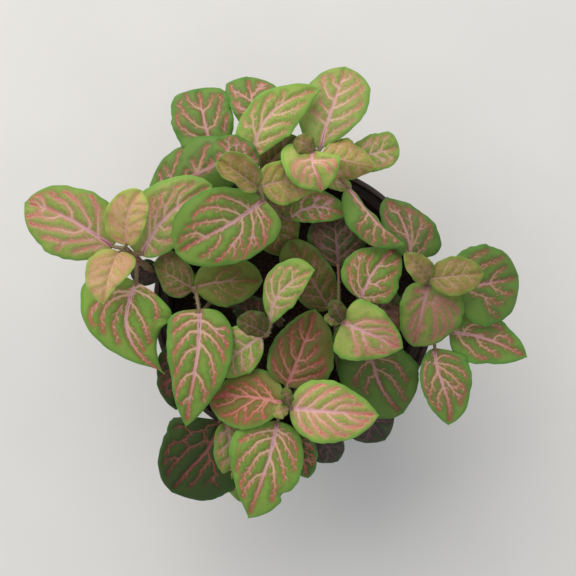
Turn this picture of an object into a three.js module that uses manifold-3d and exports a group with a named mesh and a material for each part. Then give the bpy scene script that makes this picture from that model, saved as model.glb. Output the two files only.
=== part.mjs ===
// A nerve plant in its nursery pot: leafy shoots rooted in peat, in a thin plastic pot.
// Millimetres, +Z up. The origin is the centre of the pot's flat underside.
import * as THREE from "three";
import { mergeVertices } from "three/addons/utils/BufferGeometryUtils.js";
import Module from "manifold-3d";

const wasm = await Module();
wasm.setup();

// Pot: a 12 cm nursery pot with a collar that it is lifted and stacked by.
const POT_HEIGHT = 94;
const RIM_RADIUS = 60;
const BASE_RADIUS = 43;
const POT_WALL = 1.2;
const POT_FLOOR = 1.6;
const COLLAR_HEIGHT = 11;
const COLLAR_STEP = 1.6;
const LIP_HEIGHT = 2.2;
const LIP_OVERHANG = 0.9;
const LIP_FOOT = 0.7; // shares of the lip's height where its round side starts and ends
const LIP_TOP = 0.25;
const LIP_EDGE = 0.6; // share of the overhang that the top edge is rounded by
const COLLAR_LEAN = 0.2;
const BASE_EDGE = 1.5;
const POT_SIDES = 32;
const DRAIN_HOLES = 6;
const DRAIN_RADIUS = 4;
const DRAIN_CIRCLE = 30;
const DRAIN_SIDES = 12;

// Peat, with the holes that the stems stand in.
const PEAT_TOP = 76;
const PEAT_LUMP = 1.1;
const PEAT_WAVES = [7, 6, 4.3]; // mm for a radian of each wave of the lumps
const PEAT_RINGS = 3;
const GAP = 0.3; // clearance between pieces that touch
const ROOT_DEPTH = 16;
const HOLE_SIDES = 8;
const STRAIGHT_STEM = 6; // height above the peat where a stem starts to lean

// Blades, leaf stalks and stems.
const BLADE_THICKNESS = 0.8;
const BLADE_STATIONS = 6;
const SMALL_STATIONS = 4;
const SMALL_LEAF = 6.5; // half width below which a blade has fewer stations
const BLADE_LINES = [-1, -0.55, 0, 0.55, 1]; // across, from the right margin to the left one
const TIP_HALF_WIDTH = 0.5;
const WAVE_HEIGHT = 0.7;
const WAVES = 2.5;
const WAVE_SHIFT = 0.3;
const STALK_RADIUS = 0.9;
const STALK_SIDES = 4;
const STALK_STEPS = 3;
const STALK_SUNK = 0.03; // share of the midrib that the stalk runs on into the blade
const STEM_RADIUS = 1.6;
const STEM_SIDES = 5;
const STEM_STEPS = 8;

// Leaves are placed as they are seen from straight above the pot, in a view 576 pixels wide:
// a pixel across, a pixel down and a height in millimetres. EYE is where the view is taken from.
const VIEW_CENTRE = 288;
const VIEW_FOCAL = 1236;
const EYE = new THREE.Vector3(-2.6, 6.8, 620);

const UP = new THREE.Vector3(0, 0, 1);
const { degToRad } = THREE.MathUtils;

function seen([across, down, height]) {
  const scale = (EYE.z - height) / VIEW_FOCAL;
  return new THREE.Vector3(
    EYE.x + (across - VIEW_CENTRE) * scale,
    EYE.y - (down - VIEW_CENTRE) * scale,
    height,
  );
}

// What a leaf has unless its own line says otherwise. rise and sway lift the midrib and carry it
// to the left at a third and two thirds of its way, in mm. fold is the angle of each half of the
// blade at the midrib, and curl the turn from there to the margin, for the left and the right
// half. roll turns the whole blade, left side up, and at is the stalk's place along the stem.
export const PLAIN_LEAF = {
  rise: [4, 4],
  sway: [0, 0],
  fold: [14, 14],
  curl: [-26, -26],
  roll: 0,
  at: 1,
};

// The leafy shoots. root is a stem's place in the peat, in mm; bend is where it leans most and top
// where its youngest leaves stand. Each leaf has its base and tip, and for each half of the blade
// the greatest half width in mm, the share of the midrib where it is so wide, and the taper: 1
// rounds both ends off evenly, less is blunter and more is more pointed.
export const SHOOTS = [
  {
    name: "shoot_left",
    root: [-38, 12],
    bend: [165, 277, 96],
    top: [125, 249, 117],
    leaves: [
      { base: [113, 247, 116], tip: [25, 203, 105], left: [17, 0.5, 1.1], right: [15, 0.35, 0.9],
        rise: [6, 6], sway: [-2.5, -4] },
      { base: [127, 245, 119], tip: [142, 190, 133], left: [9.5, 0.4, 1], right: [8.5, 0.55, 0.7],
        sway: [2.5, 4], fold: [16, 12], curl: [-10, -14] },
      { base: [119, 252, 119], tip: [104, 305, 128], left: [9.5, 0.2, 1.4], right: [10.5, 0.4, 1],
        sway: [-1, -1], fold: [24, 24] },
      { base: [142, 256, 113], tip: [213, 185, 122], left: [14.5, 0.4, 1], right: [12.5, 0.45, 1.1],
        rise: [4, 2], sway: [6, 4.5], at: 0.94 },
      { base: [137, 282, 111], tip: [165, 374, 102], left: [20, 0.25, 1.5], right: [21, 0.18, 2.1],
        sway: [-12.5, -12], at: 0.86 },
      { base: [161, 272, 101], tip: [130, 273, 100], left: [6, 0.45, 1.1], right: [6, 0.45, 1.1],
        at: 0.5 },
    ],
  },
  {
    name: "shoot_west",
    root: [-25, -2],
    bend: [212, 290, 98],
    top: [195, 290, 112],
    leaves: [
      { base: [194, 289, 111], tip: [153, 265, 107], left: [8, 0.35, 1.8], right: [10, 0.65, 0.8] },
      { base: [195, 288, 112], tip: [263, 281, 112], left: [11, 0.5, 1.1], right: [11, 0.45, 1.3],
        sway: [2.5, 1] },
      { base: [199, 309, 117], tip: [186, 427, 110], left: [15, 0.3, 1.2], right: [14, 0.2, 1],
        rise: [6, 7], sway: [3.5, 0.5], at: 0.96 },
      { base: [190, 335, 99], tip: [176, 410, 95], left: [9, 0.45, 1.1], right: [12, 0.45, 1.1],
        rise: [2, 2], at: 0.6 },
    ],
  },
  {
    name: "shoot_middle",
    root: [-6, -8],
    bend: [270, 318, 99],
    top: [266, 334, 123],
    leaves: [
      { base: [271, 324, 125], tip: [315, 270, 130], left: [9.5, 0.65, 1.7], right: [8, 0.45, 1.6],
        sway: [8, 5.5] },
      { base: [265, 333, 125], tip: [237, 319, 129], left: [4, 0.5, 0.9], right: [7.5, 0.4, 0.9] },
      { base: [262, 336, 119.5], tip: [215, 373, 105.5], left: [10, 0.5, 1.2], right: [11, 0.45, 1.1],
        rise: [3, 1], sway: [-1, -1] },
      { base: [266, 322, 103], tip: [236, 303, 99], left: [7, 0.45, 1.1], right: [8, 0.45, 1.1],
        at: 0.62 },
    ],
  },
  {
    name: "shoot_north",
    root: [-10, 26],
    bend: [262, 205, 108],
    top: [259, 187, 136],
    leaves: [
      { base: [264, 199, 135], tip: [176, 253, 129], left: [16.5, 0.3, 0.7], right: [17.5, 0.55, 1.05],
        rise: [5, 5], sway: [3, 1] },
      { base: [260, 187, 135], tip: [315, 192, 122], left: [9, 0.35, 1], right: [10, 0.4, 1.3],
        rise: [1, 2], sway: [3, 5] },
      { base: [257, 187, 137], tip: [218, 160, 142], left: [9, 0.5, 1], right: [9, 0.5, 1],
        fold: [40, 30], curl: [30, 0] },
      { base: [254, 176, 132], tip: [216, 139, 130], left: [9, 0.45, 1.1], right: [9, 0.45, 1.1],
        at: 0.93 },
      { base: [253, 160, 131], tip: [321, 90, 124], left: [9.5, 0.3, 0.8], right: [12, 0.45, 1.7],
        rise: [6, 6], sway: [11, 8.5], at: 0.93 },
      { base: [247, 150, 120], tip: [148, 198, 107], left: [13, 0.45, 1.1], right: [15.5, 0.5, 1.2],
        fold: [-4, -4], at: 0.85 },
      { base: [212, 152, 112], tip: [199, 89, 104], left: [14, 0.55, 0.45], right: [13, 0.6, 0.5],
        sway: [0, 1], at: 0.7 },
      { base: [260, 138, 113], tip: [247, 77, 104], left: [10.5, 0.8, 0.6], right: [13.5, 0.5, 1.4],
        at: 0.72 },
      { base: [266, 202, 115], tip: [285, 256, 104], left: [11, 0.45, 1.1], right: [10.5, 0.45, 1.1],
        at: 0.72 },
      { base: [290, 219, 114], tip: [346, 215, 113], left: [7.5, 0.45, 1.1], right: [7, 0.45, 1.1],
        sway: [6.5, 4], at: 0.8 },
      { base: [262, 170, 116], tip: [298, 137, 112], left: [8, 0.45, 1.1], right: [9, 0.45, 1.1],
        at: 0.85 },
    ],
  },
  {
    name: "shoot_far",
    root: [12, 36],
    bend: [318, 175, 104],
    top: [316, 153, 127],
    leaves: [
      { base: [321, 149, 123], tip: [345, 67, 110], left: [14.5, 0.5, 1.1], right: [14.5, 0.6, 1.4],
        sway: [1.5, -1], roll: -8 },
      { base: [314, 151, 128], tip: [321, 193, 127], left: [12.5, 0.4, 2], right: [13.5, 0.25, 1.2],
        rise: [5, 5], sway: [-4, 1], fold: [25, 25], curl: [-10, -10] },
      { base: [314, 152, 128], tip: [295, 138, 130], left: [4.5, 0.5, 1], right: [4.5, 0.5, 1] },
      { base: [321, 156, 126], tip: [376, 168, 116], left: [11, 0.45, 1.1], right: [11, 0.45, 1.1],
        fold: [-14, -30] },
      { base: [350, 160, 113], tip: [399, 148, 107], left: [8.5, 0.65, 0.5], right: [8, 0.5, 0.8],
        at: 0.8 },
      { base: [322, 176, 116], tip: [352, 189, 115], left: [4, 0.45, 1.1], right: [4, 0.45, 1.1],
        at: 0.85 },
      { base: [348, 186, 120], tip: [404, 245, 125], left: [3.5, 0.45, 1.1], right: [10.5, 0.45, 1.1],
        sway: [-2, -3], fold: [-70, -5], curl: [0, -20], at: 0.8 },
    ],
  },
  {
    name: "shoot_centre",
    root: [17, 0],
    bend: [336, 308, 98],
    top: [343, 322, 126],
    leaves: [
      { base: [342, 322, 127], tip: [403, 348, 123], left: [12.5, 0.25, 0.9], right: [14, 0.2, 0.95] },
      { base: [343, 321, 128], tip: [331, 300, 132], left: [4, 0.5, 1], right: [4, 0.5, 1] },
      { base: [341, 322, 127], tip: [324, 316, 130], left: [3, 0.5, 1], right: [3, 0.5, 1] },
      { base: [361, 299, 119], tip: [398, 247, 114], left: [13, 0.35, 1.8], right: [13, 0.3, 0.7],
        sway: [3, 3.5], at: 0.93 },
      { base: [329, 309, 105], tip: [289, 240, 111], left: [10.5, 0.5, 0.8], right: [10, 0.45, 0.9],
        at: 0.72 },
      { base: [338, 266, 109], tip: [333, 205, 105], left: [12.5, 0.45, 1.1], right: [13, 0.45, 1.1],
        at: 0.7 },
      { base: [348, 326, 112], tip: [344, 361, 106], left: [8, 0.45, 0.7], right: [6, 0.35, 0.6],
        rise: [1, 1], at: 0.85 },
      { base: [368, 344, 103], tip: [403, 413, 95], left: [18.5, 0.5, 0.9], right: [16, 0.3, 0.7],
        sway: [-3, -5.5], at: 0.6 },
      { base: [362, 322, 107], tip: [398, 294, 105], left: [11.5, 0.45, 1.1], right: [13.5, 0.45, 1.1],
        at: 0.65 },
      { base: [345, 385, 98], tip: [385, 440, 90], left: [13, 0.45, 1.1], right: [13, 0.45, 1.1],
        at: 0.45 },
    ],
  },
  {
    name: "shoot_right",
    root: [40, -4],
    bend: [402, 300, 98],
    top: [429, 279, 124],
    leaves: [
      { base: [429, 279, 125], tip: [484, 273, 129], left: [8.5, 0.45, 1.1], right: [8.5, 0.45, 1.1] },
      { base: [429, 279, 125], tip: [404, 253, 130], left: [6, 0.4, 1.3], right: [6, 0.4, 1.3],
        fold: [35, 35] },
      { base: [411, 258, 118], tip: [387, 197, 110], left: [9, 0.5, 0.9], right: [13.5, 0.2, 1.1],
        sway: [-3, -2], at: 0.93 },
      { base: [428, 284, 120], tip: [413, 346, 112], left: [17.5, 0.35, 0.8], right: [10, 0.35, 0.8],
        at: 0.95 },
      { base: [452, 288, 117], tip: [518, 276, 106], left: [17, 0.45, 0.7], right: [18, 0.45, 1.1],
        sway: [0, -2], at: 0.9 },
      { base: [449, 333, 106], tip: [527, 357, 98], left: [10.5, 0.35, 1.1], right: [12, 0.3, 1.1],
        sway: [4, 1.5], at: 0.65 },
      { base: [435, 348, 107], tip: [448, 425, 98], left: [14, 0.3, 1], right: [9.5, 0.5, 1.2],
        sway: [-3.5, 5], at: 0.6 },
    ],
  },
  {
    name: "shoot_near",
    root: [2, -28],
    bend: [296, 396, 98],
    top: [290, 406, 122],
    leaves: [
      { base: [290, 408, 122], tip: [379, 415, 119], left: [13.5, 0.35, 1.3], right: [13.5, 0.4, 1.1] },
      { base: [285, 403, 118.5], tip: [208, 399, 103], left: [14.5, 0.5, 1.2], right: [12.5, 0.4, 1.7],
        rise: [1, 1], sway: [-2, -3], roll: 16 },
      { base: [277, 421, 113], tip: [248, 518, 101], left: [15, 0.4, 1.1], right: [18, 0.3, 1.5],
        rise: [5, 6], sway: [2.5, 0.5], at: 0.94 },
      { base: [287, 386, 116], tip: [315, 309, 109], left: [13, 0.35, 1], right: [15.5, 0.35, 1.1],
        rise: [2, 2], sway: [0, -1.5], at: 0.93 },
      { base: [288, 408, 124], tip: [272, 413, 127], left: [3.5, 0.5, 1], right: [3.5, 0.5, 1] },
      { base: [289, 406, 124], tip: [285, 387, 129], left: [3, 0.5, 1], right: [3, 0.5, 1] },
      { base: [296, 430, 106], tip: [308, 478, 97], left: [7, 0.45, 1.1], right: [7, 0.45, 1.1],
        at: 0.6 },
      { base: [312, 425, 99], tip: [338, 461, 92], left: [9, 0.45, 1.1], right: [9, 0.45, 1.1],
        at: 0.5 },
    ],
  },
  {
    name: "shoot_low",
    root: [-18, -28],
    bend: [240, 400, 90],
    top: [224, 414, 102],
    leaves: [
      { base: [226, 422, 101], tip: [243, 503, 94], left: [9, 0.45, 1.1], right: [8, 0.4, 1] },
      { base: [220, 420, 100], tip: [172, 492, 90], left: [19.5, 0.5, 1], right: [20.5, 0.3, 0.75],
        sway: [6, -1], at: 0.95 },
    ],
  },
];

// A closed three.js geometry as a solid to join or cut.
function solidOf(geometry) {
  const bare = geometry.clone();
  bare.deleteAttribute("normal");
  bare.deleteAttribute("uv");
  const merged = mergeVertices(bare, 1e-4);
  return new wasm.Manifold(
    new wasm.Mesh({
      numProp: 3,
      vertProperties: new Float32Array(merged.attributes.position.array),
      triVerts: new Uint32Array(merged.index.array),
    }),
  );
}

function meshOf(name, solid, material) {
  const { vertProperties, triVerts } = solid.getMesh();
  const geometry = new THREE.BufferGeometry();
  geometry.setAttribute("position", new THREE.BufferAttribute(vertProperties, 3));
  geometry.setIndex(new THREE.BufferAttribute(triVerts, 1));
  geometry.computeVertexNormals();
  const mesh = new THREE.Mesh(geometry, material);
  mesh.name = name;
  return mesh;
}

// A regular polygon to carry along a path or raise into a peg.
function polygon(radius, sides) {
  const corners = [];
  for (let i = 0; i < sides; i++) {
    const angle = (2 * Math.PI * i) / sides;
    corners.push(new THREE.Vector2(radius * Math.cos(angle), radius * Math.sin(angle)));
  }
  return new THREE.Shape(corners);
}

function tube(path, radius, sides, steps) {
  return new THREE.ExtrudeGeometry(polygon(radius, sides), { steps, extrudePath: path });
}

function peg(x, y, low, high, radius, sides) {
  const shape = polygon(radius, sides);
  const geometry = new THREE.ExtrudeGeometry(shape, { depth: high - low, bevelEnabled: false });
  return geometry.translate(x, y, low);
}

// A profile of [radius, height] points turned about the Z axis.
function turned(profile, sides) {
  const points = profile.map(([radius, height]) => new THREE.Vector2(radius, height));
  return new THREE.LatheGeometry(points, sides).rotateX(Math.PI / 2);
}

// Radius of the pot's outer wall below the collar.
function potRadius(height) {
  const top = RIM_RADIUS - LIP_OVERHANG - COLLAR_STEP;
  return THREE.MathUtils.lerp(BASE_RADIUS, top, height / POT_HEIGHT);
}

function makePot() {
  const collarFoot = POT_HEIGHT - COLLAR_HEIGHT;
  const collar = RIM_RADIUS - LIP_OVERHANG;
  const profile = [
    [0, 0],
    [BASE_RADIUS - BASE_EDGE, 0],
    [potRadius(BASE_EDGE), BASE_EDGE],
    [potRadius(collarFoot), collarFoot],
    [collar - COLLAR_LEAN, collarFoot],
    [collar, POT_HEIGHT - LIP_HEIGHT],
    [RIM_RADIUS, POT_HEIGHT - LIP_HEIGHT * LIP_FOOT],
    [RIM_RADIUS, POT_HEIGHT - LIP_HEIGHT * LIP_TOP],
    [RIM_RADIUS - LIP_OVERHANG * LIP_EDGE, POT_HEIGHT],
    [collar - POT_WALL, POT_HEIGHT],
    [collar - POT_WALL, collarFoot + POT_WALL],
    [potRadius(collarFoot) - POT_WALL, collarFoot - POT_WALL],
    [potRadius(POT_FLOOR) - POT_WALL, POT_FLOOR],
    [0, POT_FLOOR],
  ];
  let pot = solidOf(turned(profile, POT_SIDES));
  for (let i = 0; i < DRAIN_HOLES; i++) {
    const angle = (2 * Math.PI * i) / DRAIN_HOLES;
    const x = DRAIN_CIRCLE * Math.cos(angle);
    const y = DRAIN_CIRCLE * Math.sin(angle);
    pot = pot.subtract(solidOf(peg(x, y, -1, POT_FLOOR + 1, DRAIN_RADIUS, DRAIN_SIDES)));
  }
  return pot;
}

// Height of the lumpy peat above its mean level.
function peatLump(x, y) {
  const [across, away, slanting] = PEAT_WAVES;
  const broad = Math.sin(x / across + 1) * Math.cos(y / away);
  return PEAT_LUMP * (broad + 0.5 * Math.sin((x + y) / slanting));
}

function makePeat() {
  const bottom = POT_FLOOR + GAP;
  const edge = potRadius(PEAT_TOP) - POT_WALL - GAP;
  const profile = [
    [0, bottom],
    [potRadius(bottom) - POT_WALL - GAP, bottom],
    [edge, PEAT_TOP - 2 * PEAT_LUMP],
  ];
  for (let ring = PEAT_RINGS; ring >= 0; ring--) {
    profile.push([(edge * ring) / PEAT_RINGS, PEAT_TOP]);
  }
  const geometry = turned(profile, POT_SIDES);
  const position = geometry.attributes.position;
  for (let i = 0; i < position.count; i++) {
    if (position.getZ(i) < PEAT_TOP - PEAT_LUMP) continue;
    position.setZ(i, PEAT_TOP + peatLump(position.getX(i), position.getY(i)));
  }
  let peat = solidOf(geometry);
  for (const { root } of SHOOTS) {
    const foot = PEAT_TOP - ROOT_DEPTH - GAP;
    const hole = peg(...root, foot, PEAT_TOP + STRAIGHT_STEM, STEM_RADIUS + 2 * GAP, HOLE_SIDES);
    peat = peat.subtract(solidOf(hole));
  }
  return peat;
}

// A stem stands straight in the peat and for a little above it, then leans to its top.
function stemPath({ root, bend, top }) {
  const foot = new THREE.Vector3(...root, PEAT_TOP);
  return new THREE.CatmullRomCurve3([
    foot.clone().addScaledVector(UP, -ROOT_DEPTH),
    foot,
    foot.clone().addScaledVector(UP, STRAIGHT_STEM),
    seen(bend),
    seen(top),
  ]);
}

function midribOf({ base, tip, rise, sway }) {
  const from = seen(base);
  const to = seen(tip);
  const left = new THREE.Vector3().subVectors(to, from).cross(UP).negate().normalize();
  const bend = [1, 2].map((third) =>
    from
      .clone()
      .lerp(to, third / 3)
      .addScaledVector(UP, rise[third - 1])
      .addScaledVector(left, sway[third - 1]),
  );
  return { curve: new THREE.CubicBezierCurve3(from, ...bend, to), left };
}

// Width of one half of the blade at u from the base to the tip.
function halfWidth(u, [greatest, widest, taper]) {
  const shape = (at) => (at ** widest * (1 - at) ** (1 - widest)) ** taper;
  return Math.max(TIP_HALF_WIDTH, (greatest * shape(u)) / shape(widest));
}

// A point of the blade at u along the midrib and v across it, lifted off the middle of its
// thickness. Each half leaves the midrib at its fold and turns by its curl along a round arc.
function bladePoint(leaf, rib, u, v, lifted) {
  const along = rib.curve.getTangent(u);
  const left = rib.left.clone().addScaledVector(along, -rib.left.dot(along)).normalize();
  left.applyAxisAngle(along, degToRad(leaf.roll));
  const over = new THREE.Vector3().crossVectors(along, left);
  const half = v < 0 ? 1 : 0;
  const hand = v < 0 ? -1 : 1;
  const fold = degToRad(leaf.fold[half]);
  const curl = degToRad(leaf.curl[half]) || 1e-6;
  const reach = Math.abs(v);
  const width = halfWidth(u, half ? leaf.right : leaf.left);
  const slope = fold + curl * reach;
  const out = (width * (Math.sin(slope) - Math.sin(fold))) / curl;
  const raised = (width * (Math.cos(fold) - Math.cos(slope))) / curl;
  const wave = WAVE_HEIGHT * Math.sin(2 * Math.PI * (WAVES * u + WAVE_SHIFT * half));
  const lift = lifted + wave * reach ** 2 * Math.sin(Math.PI * u);
  return rib.curve
    .getPoint(u)
    .addScaledVector(left, hand * (out - lift * Math.sin(slope)))
    .addScaledVector(over, raised + lift * Math.cos(slope));
}

// A blade is one grid of triangles on its upper face, the same grid on its lower face, and a
// strip round its margin.
export function bladeGeometry(leaf) {
  const rib = midribOf(leaf);
  const points = [];
  const end = Math.max(leaf.left[0], leaf.right[0]) < SMALL_LEAF ? SMALL_STATIONS : BLADE_STATIONS;
  const lines = BLADE_LINES.length;
  for (const lifted of [BLADE_THICKNESS / 2, -BLADE_THICKNESS / 2]) {
    for (let station = 0; station <= end; station++) {
      const u = (1 - Math.cos((Math.PI * station) / end)) / 2;
      for (const v of BLADE_LINES) points.push(bladePoint(leaf, rib, u, v, lifted));
    }
  }
  const lower = (end + 1) * lines;
  const at = (station, line) => station * lines + line;
  const faces = [];
  const quad = (a, b, c, d) => faces.push(a, b, c, a, c, d);
  for (let station = 0; station < end; station++) {
    for (let line = 0; line < lines - 1; line++) {
      const corners = [
        at(station, line),
        at(station + 1, line),
        at(station + 1, line + 1),
        at(station, line + 1),
      ];
      quad(...corners);
      const [a, b, c, d] = corners.map((corner) => corner + lower);
      faces.push(a, c, b, a, d, c);
    }
    const [near, far] = [station, station + 1];
    quad(at(near, 0), at(near, 0) + lower, at(far, 0) + lower, at(far, 0));
    const last = lines - 1;
    quad(at(near, last), at(far, last), at(far, last) + lower, at(near, last) + lower);
  }
  for (let line = 0; line < lines - 1; line++) {
    quad(at(0, line), at(0, line + 1), at(0, line + 1) + lower, at(0, line) + lower);
    quad(at(end, line), at(end, line) + lower, at(end, line + 1) + lower, at(end, line + 1));
  }
  const geometry = new THREE.BufferGeometry().setFromPoints(points);
  geometry.setIndex(faces);
  return geometry;
}

// A stalk leaves the stem upwards and outwards and runs on for a little under the midrib.
function stalkGeometry(leaf, stem) {
  const { curve } = midribOf(leaf);
  const from = stem.getPointAt(leaf.at);
  const to = curve.getPoint(STALK_SUNK);
  const reach = from.distanceTo(to) / 3;
  const outward = new THREE.Vector3().subVectors(to, from).normalize();
  const away = outward.add(stem.getTangentAt(leaf.at)).normalize();
  const path = new THREE.CubicBezierCurve3(
    from,
    from.clone().addScaledVector(away, reach),
    to.clone().addScaledVector(curve.getTangent(STALK_SUNK), -reach),
    to,
  );
  return tube(path, STALK_RADIUS, STALK_SIDES, STALK_STEPS);
}

export function makeShoot(shoot) {
  const path = stemPath(shoot);
  let whole = solidOf(tube(path, STEM_RADIUS, STEM_SIDES, STEM_STEPS));
  for (const own of shoot.leaves) {
    const leaf = { ...PLAIN_LEAF, ...own };
    whole = whole.add(solidOf(bladeGeometry(leaf))).add(solidOf(stalkGeometry(leaf, path)));
  }
  return whole;
}

const plant = new THREE.Group();

const plastic = new THREE.MeshStandardMaterial({ color: 0x3a2b2a, roughness: 0.45, metalness: 0 });
plant.add(meshOf("pot", makePot(), plastic));

const soil = new THREE.MeshStandardMaterial({ color: 0x2a1d14, roughness: 0.95, metalness: 0 });
plant.add(meshOf("peat", makePeat(), soil));

for (const shoot of SHOOTS) {
  const green = new THREE.MeshStandardMaterial({ color: 0x7b8f45, roughness: 0.5, metalness: 0 });
  plant.add(meshOf(shoot.name, makeShoot(shoot), green));
}

export default plant;
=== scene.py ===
# %% [markdown]
# # A nerve plant in its nursery pot
# The plant is a cushion of leafy shoots in a thin brown pot. It is seen from straight above, so
# almost all that shows is leaves: oval blades, puffed between sunken pink veins.
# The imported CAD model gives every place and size. Each leafy shoot of it is plain, so this script
# grows finer blades on the same midribs, and finer stems, pot and peat in the same places.

import bpy
import numpy as np
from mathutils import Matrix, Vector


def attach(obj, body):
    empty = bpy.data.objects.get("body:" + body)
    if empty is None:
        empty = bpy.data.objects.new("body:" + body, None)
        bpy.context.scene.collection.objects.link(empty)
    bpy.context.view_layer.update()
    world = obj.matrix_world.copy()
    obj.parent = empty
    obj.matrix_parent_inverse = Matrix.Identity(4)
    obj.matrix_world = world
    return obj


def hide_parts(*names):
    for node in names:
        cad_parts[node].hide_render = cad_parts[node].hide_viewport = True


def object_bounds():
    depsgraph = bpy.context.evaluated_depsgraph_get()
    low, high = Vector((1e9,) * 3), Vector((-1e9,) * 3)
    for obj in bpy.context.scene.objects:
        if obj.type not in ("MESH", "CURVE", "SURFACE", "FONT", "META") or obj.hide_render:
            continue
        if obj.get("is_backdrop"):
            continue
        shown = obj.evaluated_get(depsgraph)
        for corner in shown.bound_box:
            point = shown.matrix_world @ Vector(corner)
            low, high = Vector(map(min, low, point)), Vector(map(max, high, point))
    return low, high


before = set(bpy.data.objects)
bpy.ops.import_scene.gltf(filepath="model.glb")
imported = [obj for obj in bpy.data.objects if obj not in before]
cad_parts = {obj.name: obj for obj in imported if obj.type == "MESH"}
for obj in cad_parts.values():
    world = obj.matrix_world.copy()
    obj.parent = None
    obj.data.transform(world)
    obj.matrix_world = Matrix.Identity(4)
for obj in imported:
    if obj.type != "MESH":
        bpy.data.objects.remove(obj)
CAD_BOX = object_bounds()
print("nodes:", sorted(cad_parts))

# %% [markdown]
# ## Where things are
# The leaves were read from above, as a place across and down a view 576 pixels wide and a height
# in millimetres. The same eye point and the same focal length give the camera, so a leaf that is
# placed by such a reading shows where it was read. Lengths are in millimetres unless a comment
# says otherwise.

# %% The view from above
MM = 0.001  # metres
VIEW_SIZE = 576
VIEW_CENTRE = 288
VIEW_FOCAL = 1236  # pixels of the view
EYE = np.array([-2.6, 6.8, 620.0])
SENSOR_WIDTH = 36.0


def seen(readings):
    """Points in mm from (across, down, height): a pixel is (eye height - height) / focal mm wide."""
    across, down, height = np.moveaxis(np.asarray(readings, float), -1, 0)
    scale = (EYE[2] - height) / VIEW_FOCAL
    x = EYE[0] + (across - VIEW_CENTRE) * scale
    y = EYE[1] - (down - VIEW_CENTRE) * scale
    return np.stack([x, y, height], axis=-1)


lens = bpy.data.cameras.new("camera_from_above")
lens.sensor_width = SENSOR_WIDTH
lens.lens = SENSOR_WIDTH * VIEW_FOCAL / VIEW_SIZE
camera = bpy.data.objects.new("camera_from_above", lens)
camera.location = EYE * MM
bpy.context.scene.collection.objects.link(camera)
bpy.context.scene.camera = camera
print("camera", tuple(camera.location), "lens", lens.lens)

# %% [markdown]
# ## Floor and light
# The pot stands on a pale matt surface, lit by a wide window from the upper left and by the pale
# room around it. A large square lamp gives the same soft, almost shadowless light.

# %% Colours and material nodes
LINEAR_LIMIT = 0.04045
# Sockets of the colour Mix node, by number because three of its kinds share their names.
FACTOR, BELOW, ABOVE, MIXED = 0, 6, 7, 2
RGBA = {"data_type": "RGBA"}
# A Map Range node takes the value at 0, its range at 1 and 2, and what that becomes at 3 and 4.


def colour(code):
    """Linear values of an sRGB hex code: c/12.92 below the limit, ((c + 0.055)/1.055)^2.4 above."""
    parts = np.array([int(code[i:i + 2], 16) for i in (1, 3, 5)]) / 255
    curve = ((parts + 0.055) / 1.055) ** 2.4
    return (*np.where(parts <= LINEAR_LIMIT, parts / 12.92, curve), 1.0)


def add(material, kind, links=None, out=0, stops=None, **settings):
    """Adds one node. links fills inputs by name or number, with a socket or a value; stops fills
    a colour ramp; settings are the node's own. Gives back the output named by out."""
    tree = material.node_tree
    node = tree.nodes.new("ShaderNode" + kind)
    for name, value in settings.items():
        setattr(node, name, value)
    for place, value in (links or {}).items():
        if isinstance(value, bpy.types.NodeSocket):
            tree.links.new(value, node.inputs[place])
        else:
            node.inputs[place].default_value = value
    if stops:
        ramp = node.color_ramp.elements
        while len(ramp) < len(stops):
            ramp.new(0.5)
        for element, (position, code) in zip(ramp, stops):
            element.position = position
            element.color = colour(code)
    return node.outputs[out] if node.outputs else node


def new_material(name):
    """A material with an empty node tree."""
    material = bpy.data.materials.new(name)
    material.use_nodes = True
    material.node_tree.nodes.clear()
    return material


def scale_for(size, unit_length=1 / MM):
    """Scale of a noise or cell pattern from the size of one of its features in mm. A pattern has
    about one feature to a unit of its coordinates, and Object coordinates have a metre for a unit."""
    return unit_length / size


# %% Floor, room and lamp
FLOOR_HALF = 2.0  # metres, as the lamp's place and size are
PAINT_CLOUD = 110.0  # across one of the paint's uneven patches
LAMP_PLACE = (-0.42, 0.90, 0.88)
LAMP_SIZE = 1.5
LAMP_WATTS = 17.3
ROOM_STRENGTH = 0.69

floor_mesh = bpy.data.meshes.new("floor")
corners = [(-FLOOR_HALF, -FLOOR_HALF, 0), (FLOOR_HALF, -FLOOR_HALF, 0),
           (FLOOR_HALF, FLOOR_HALF, 0), (-FLOOR_HALF, FLOOR_HALF, 0)]
floor_mesh.from_pydata(corners, [], [(0, 1, 2, 3)])
floor = bpy.data.objects.new("floor", floor_mesh)
bpy.context.scene.collection.objects.link(floor)
floor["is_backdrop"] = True

# Matt painted board: nearly white and without gloss, with a faint unevenness in the paint.
board = new_material("matt_painted_board")
where = add(board, "TexCoord", out="Object")
uneven = add(board, "TexNoise", {"Vector": where, "Scale": scale_for(PAINT_CLOUD), "Detail": 3.0})
tint = add(board, "ValToRGB", {0: uneven}, stops=[(0.3, "#d7d6d4"), (0.7, "#dddcda")])
paint = add(board, "BsdfPrincipled", {"Base Color": tint, "Roughness": 0.8})
add(board, "OutputMaterial", {"Surface": paint})
floor_mesh.materials.append(board)

lamp = bpy.data.lights.new("window_light", "AREA")
lamp.size = LAMP_SIZE
lamp.energy = LAMP_WATTS
lamp.color = colour("#fffaf2")[:3]
lamp_object = bpy.data.objects.new("window_light", lamp)
lamp_object.location = LAMP_PLACE
to_plant = -lamp_object.location
lamp_object.rotation_euler = to_plant.to_track_quat("-Z", "Y").to_euler()
bpy.context.scene.collection.objects.link(lamp_object)

room = bpy.data.worlds.new("pale_room")
room.use_nodes = True
background = room.node_tree.nodes["Background"].inputs
background["Color"].default_value = colour("#eff1f4")
background["Strength"].default_value = ROOM_STRENGTH
bpy.context.scene.world = room
bpy.context.scene.view_settings.view_transform = "Standard"
print("lamp", LAMP_WATTS, "W at", LAMP_PLACE)

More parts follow.
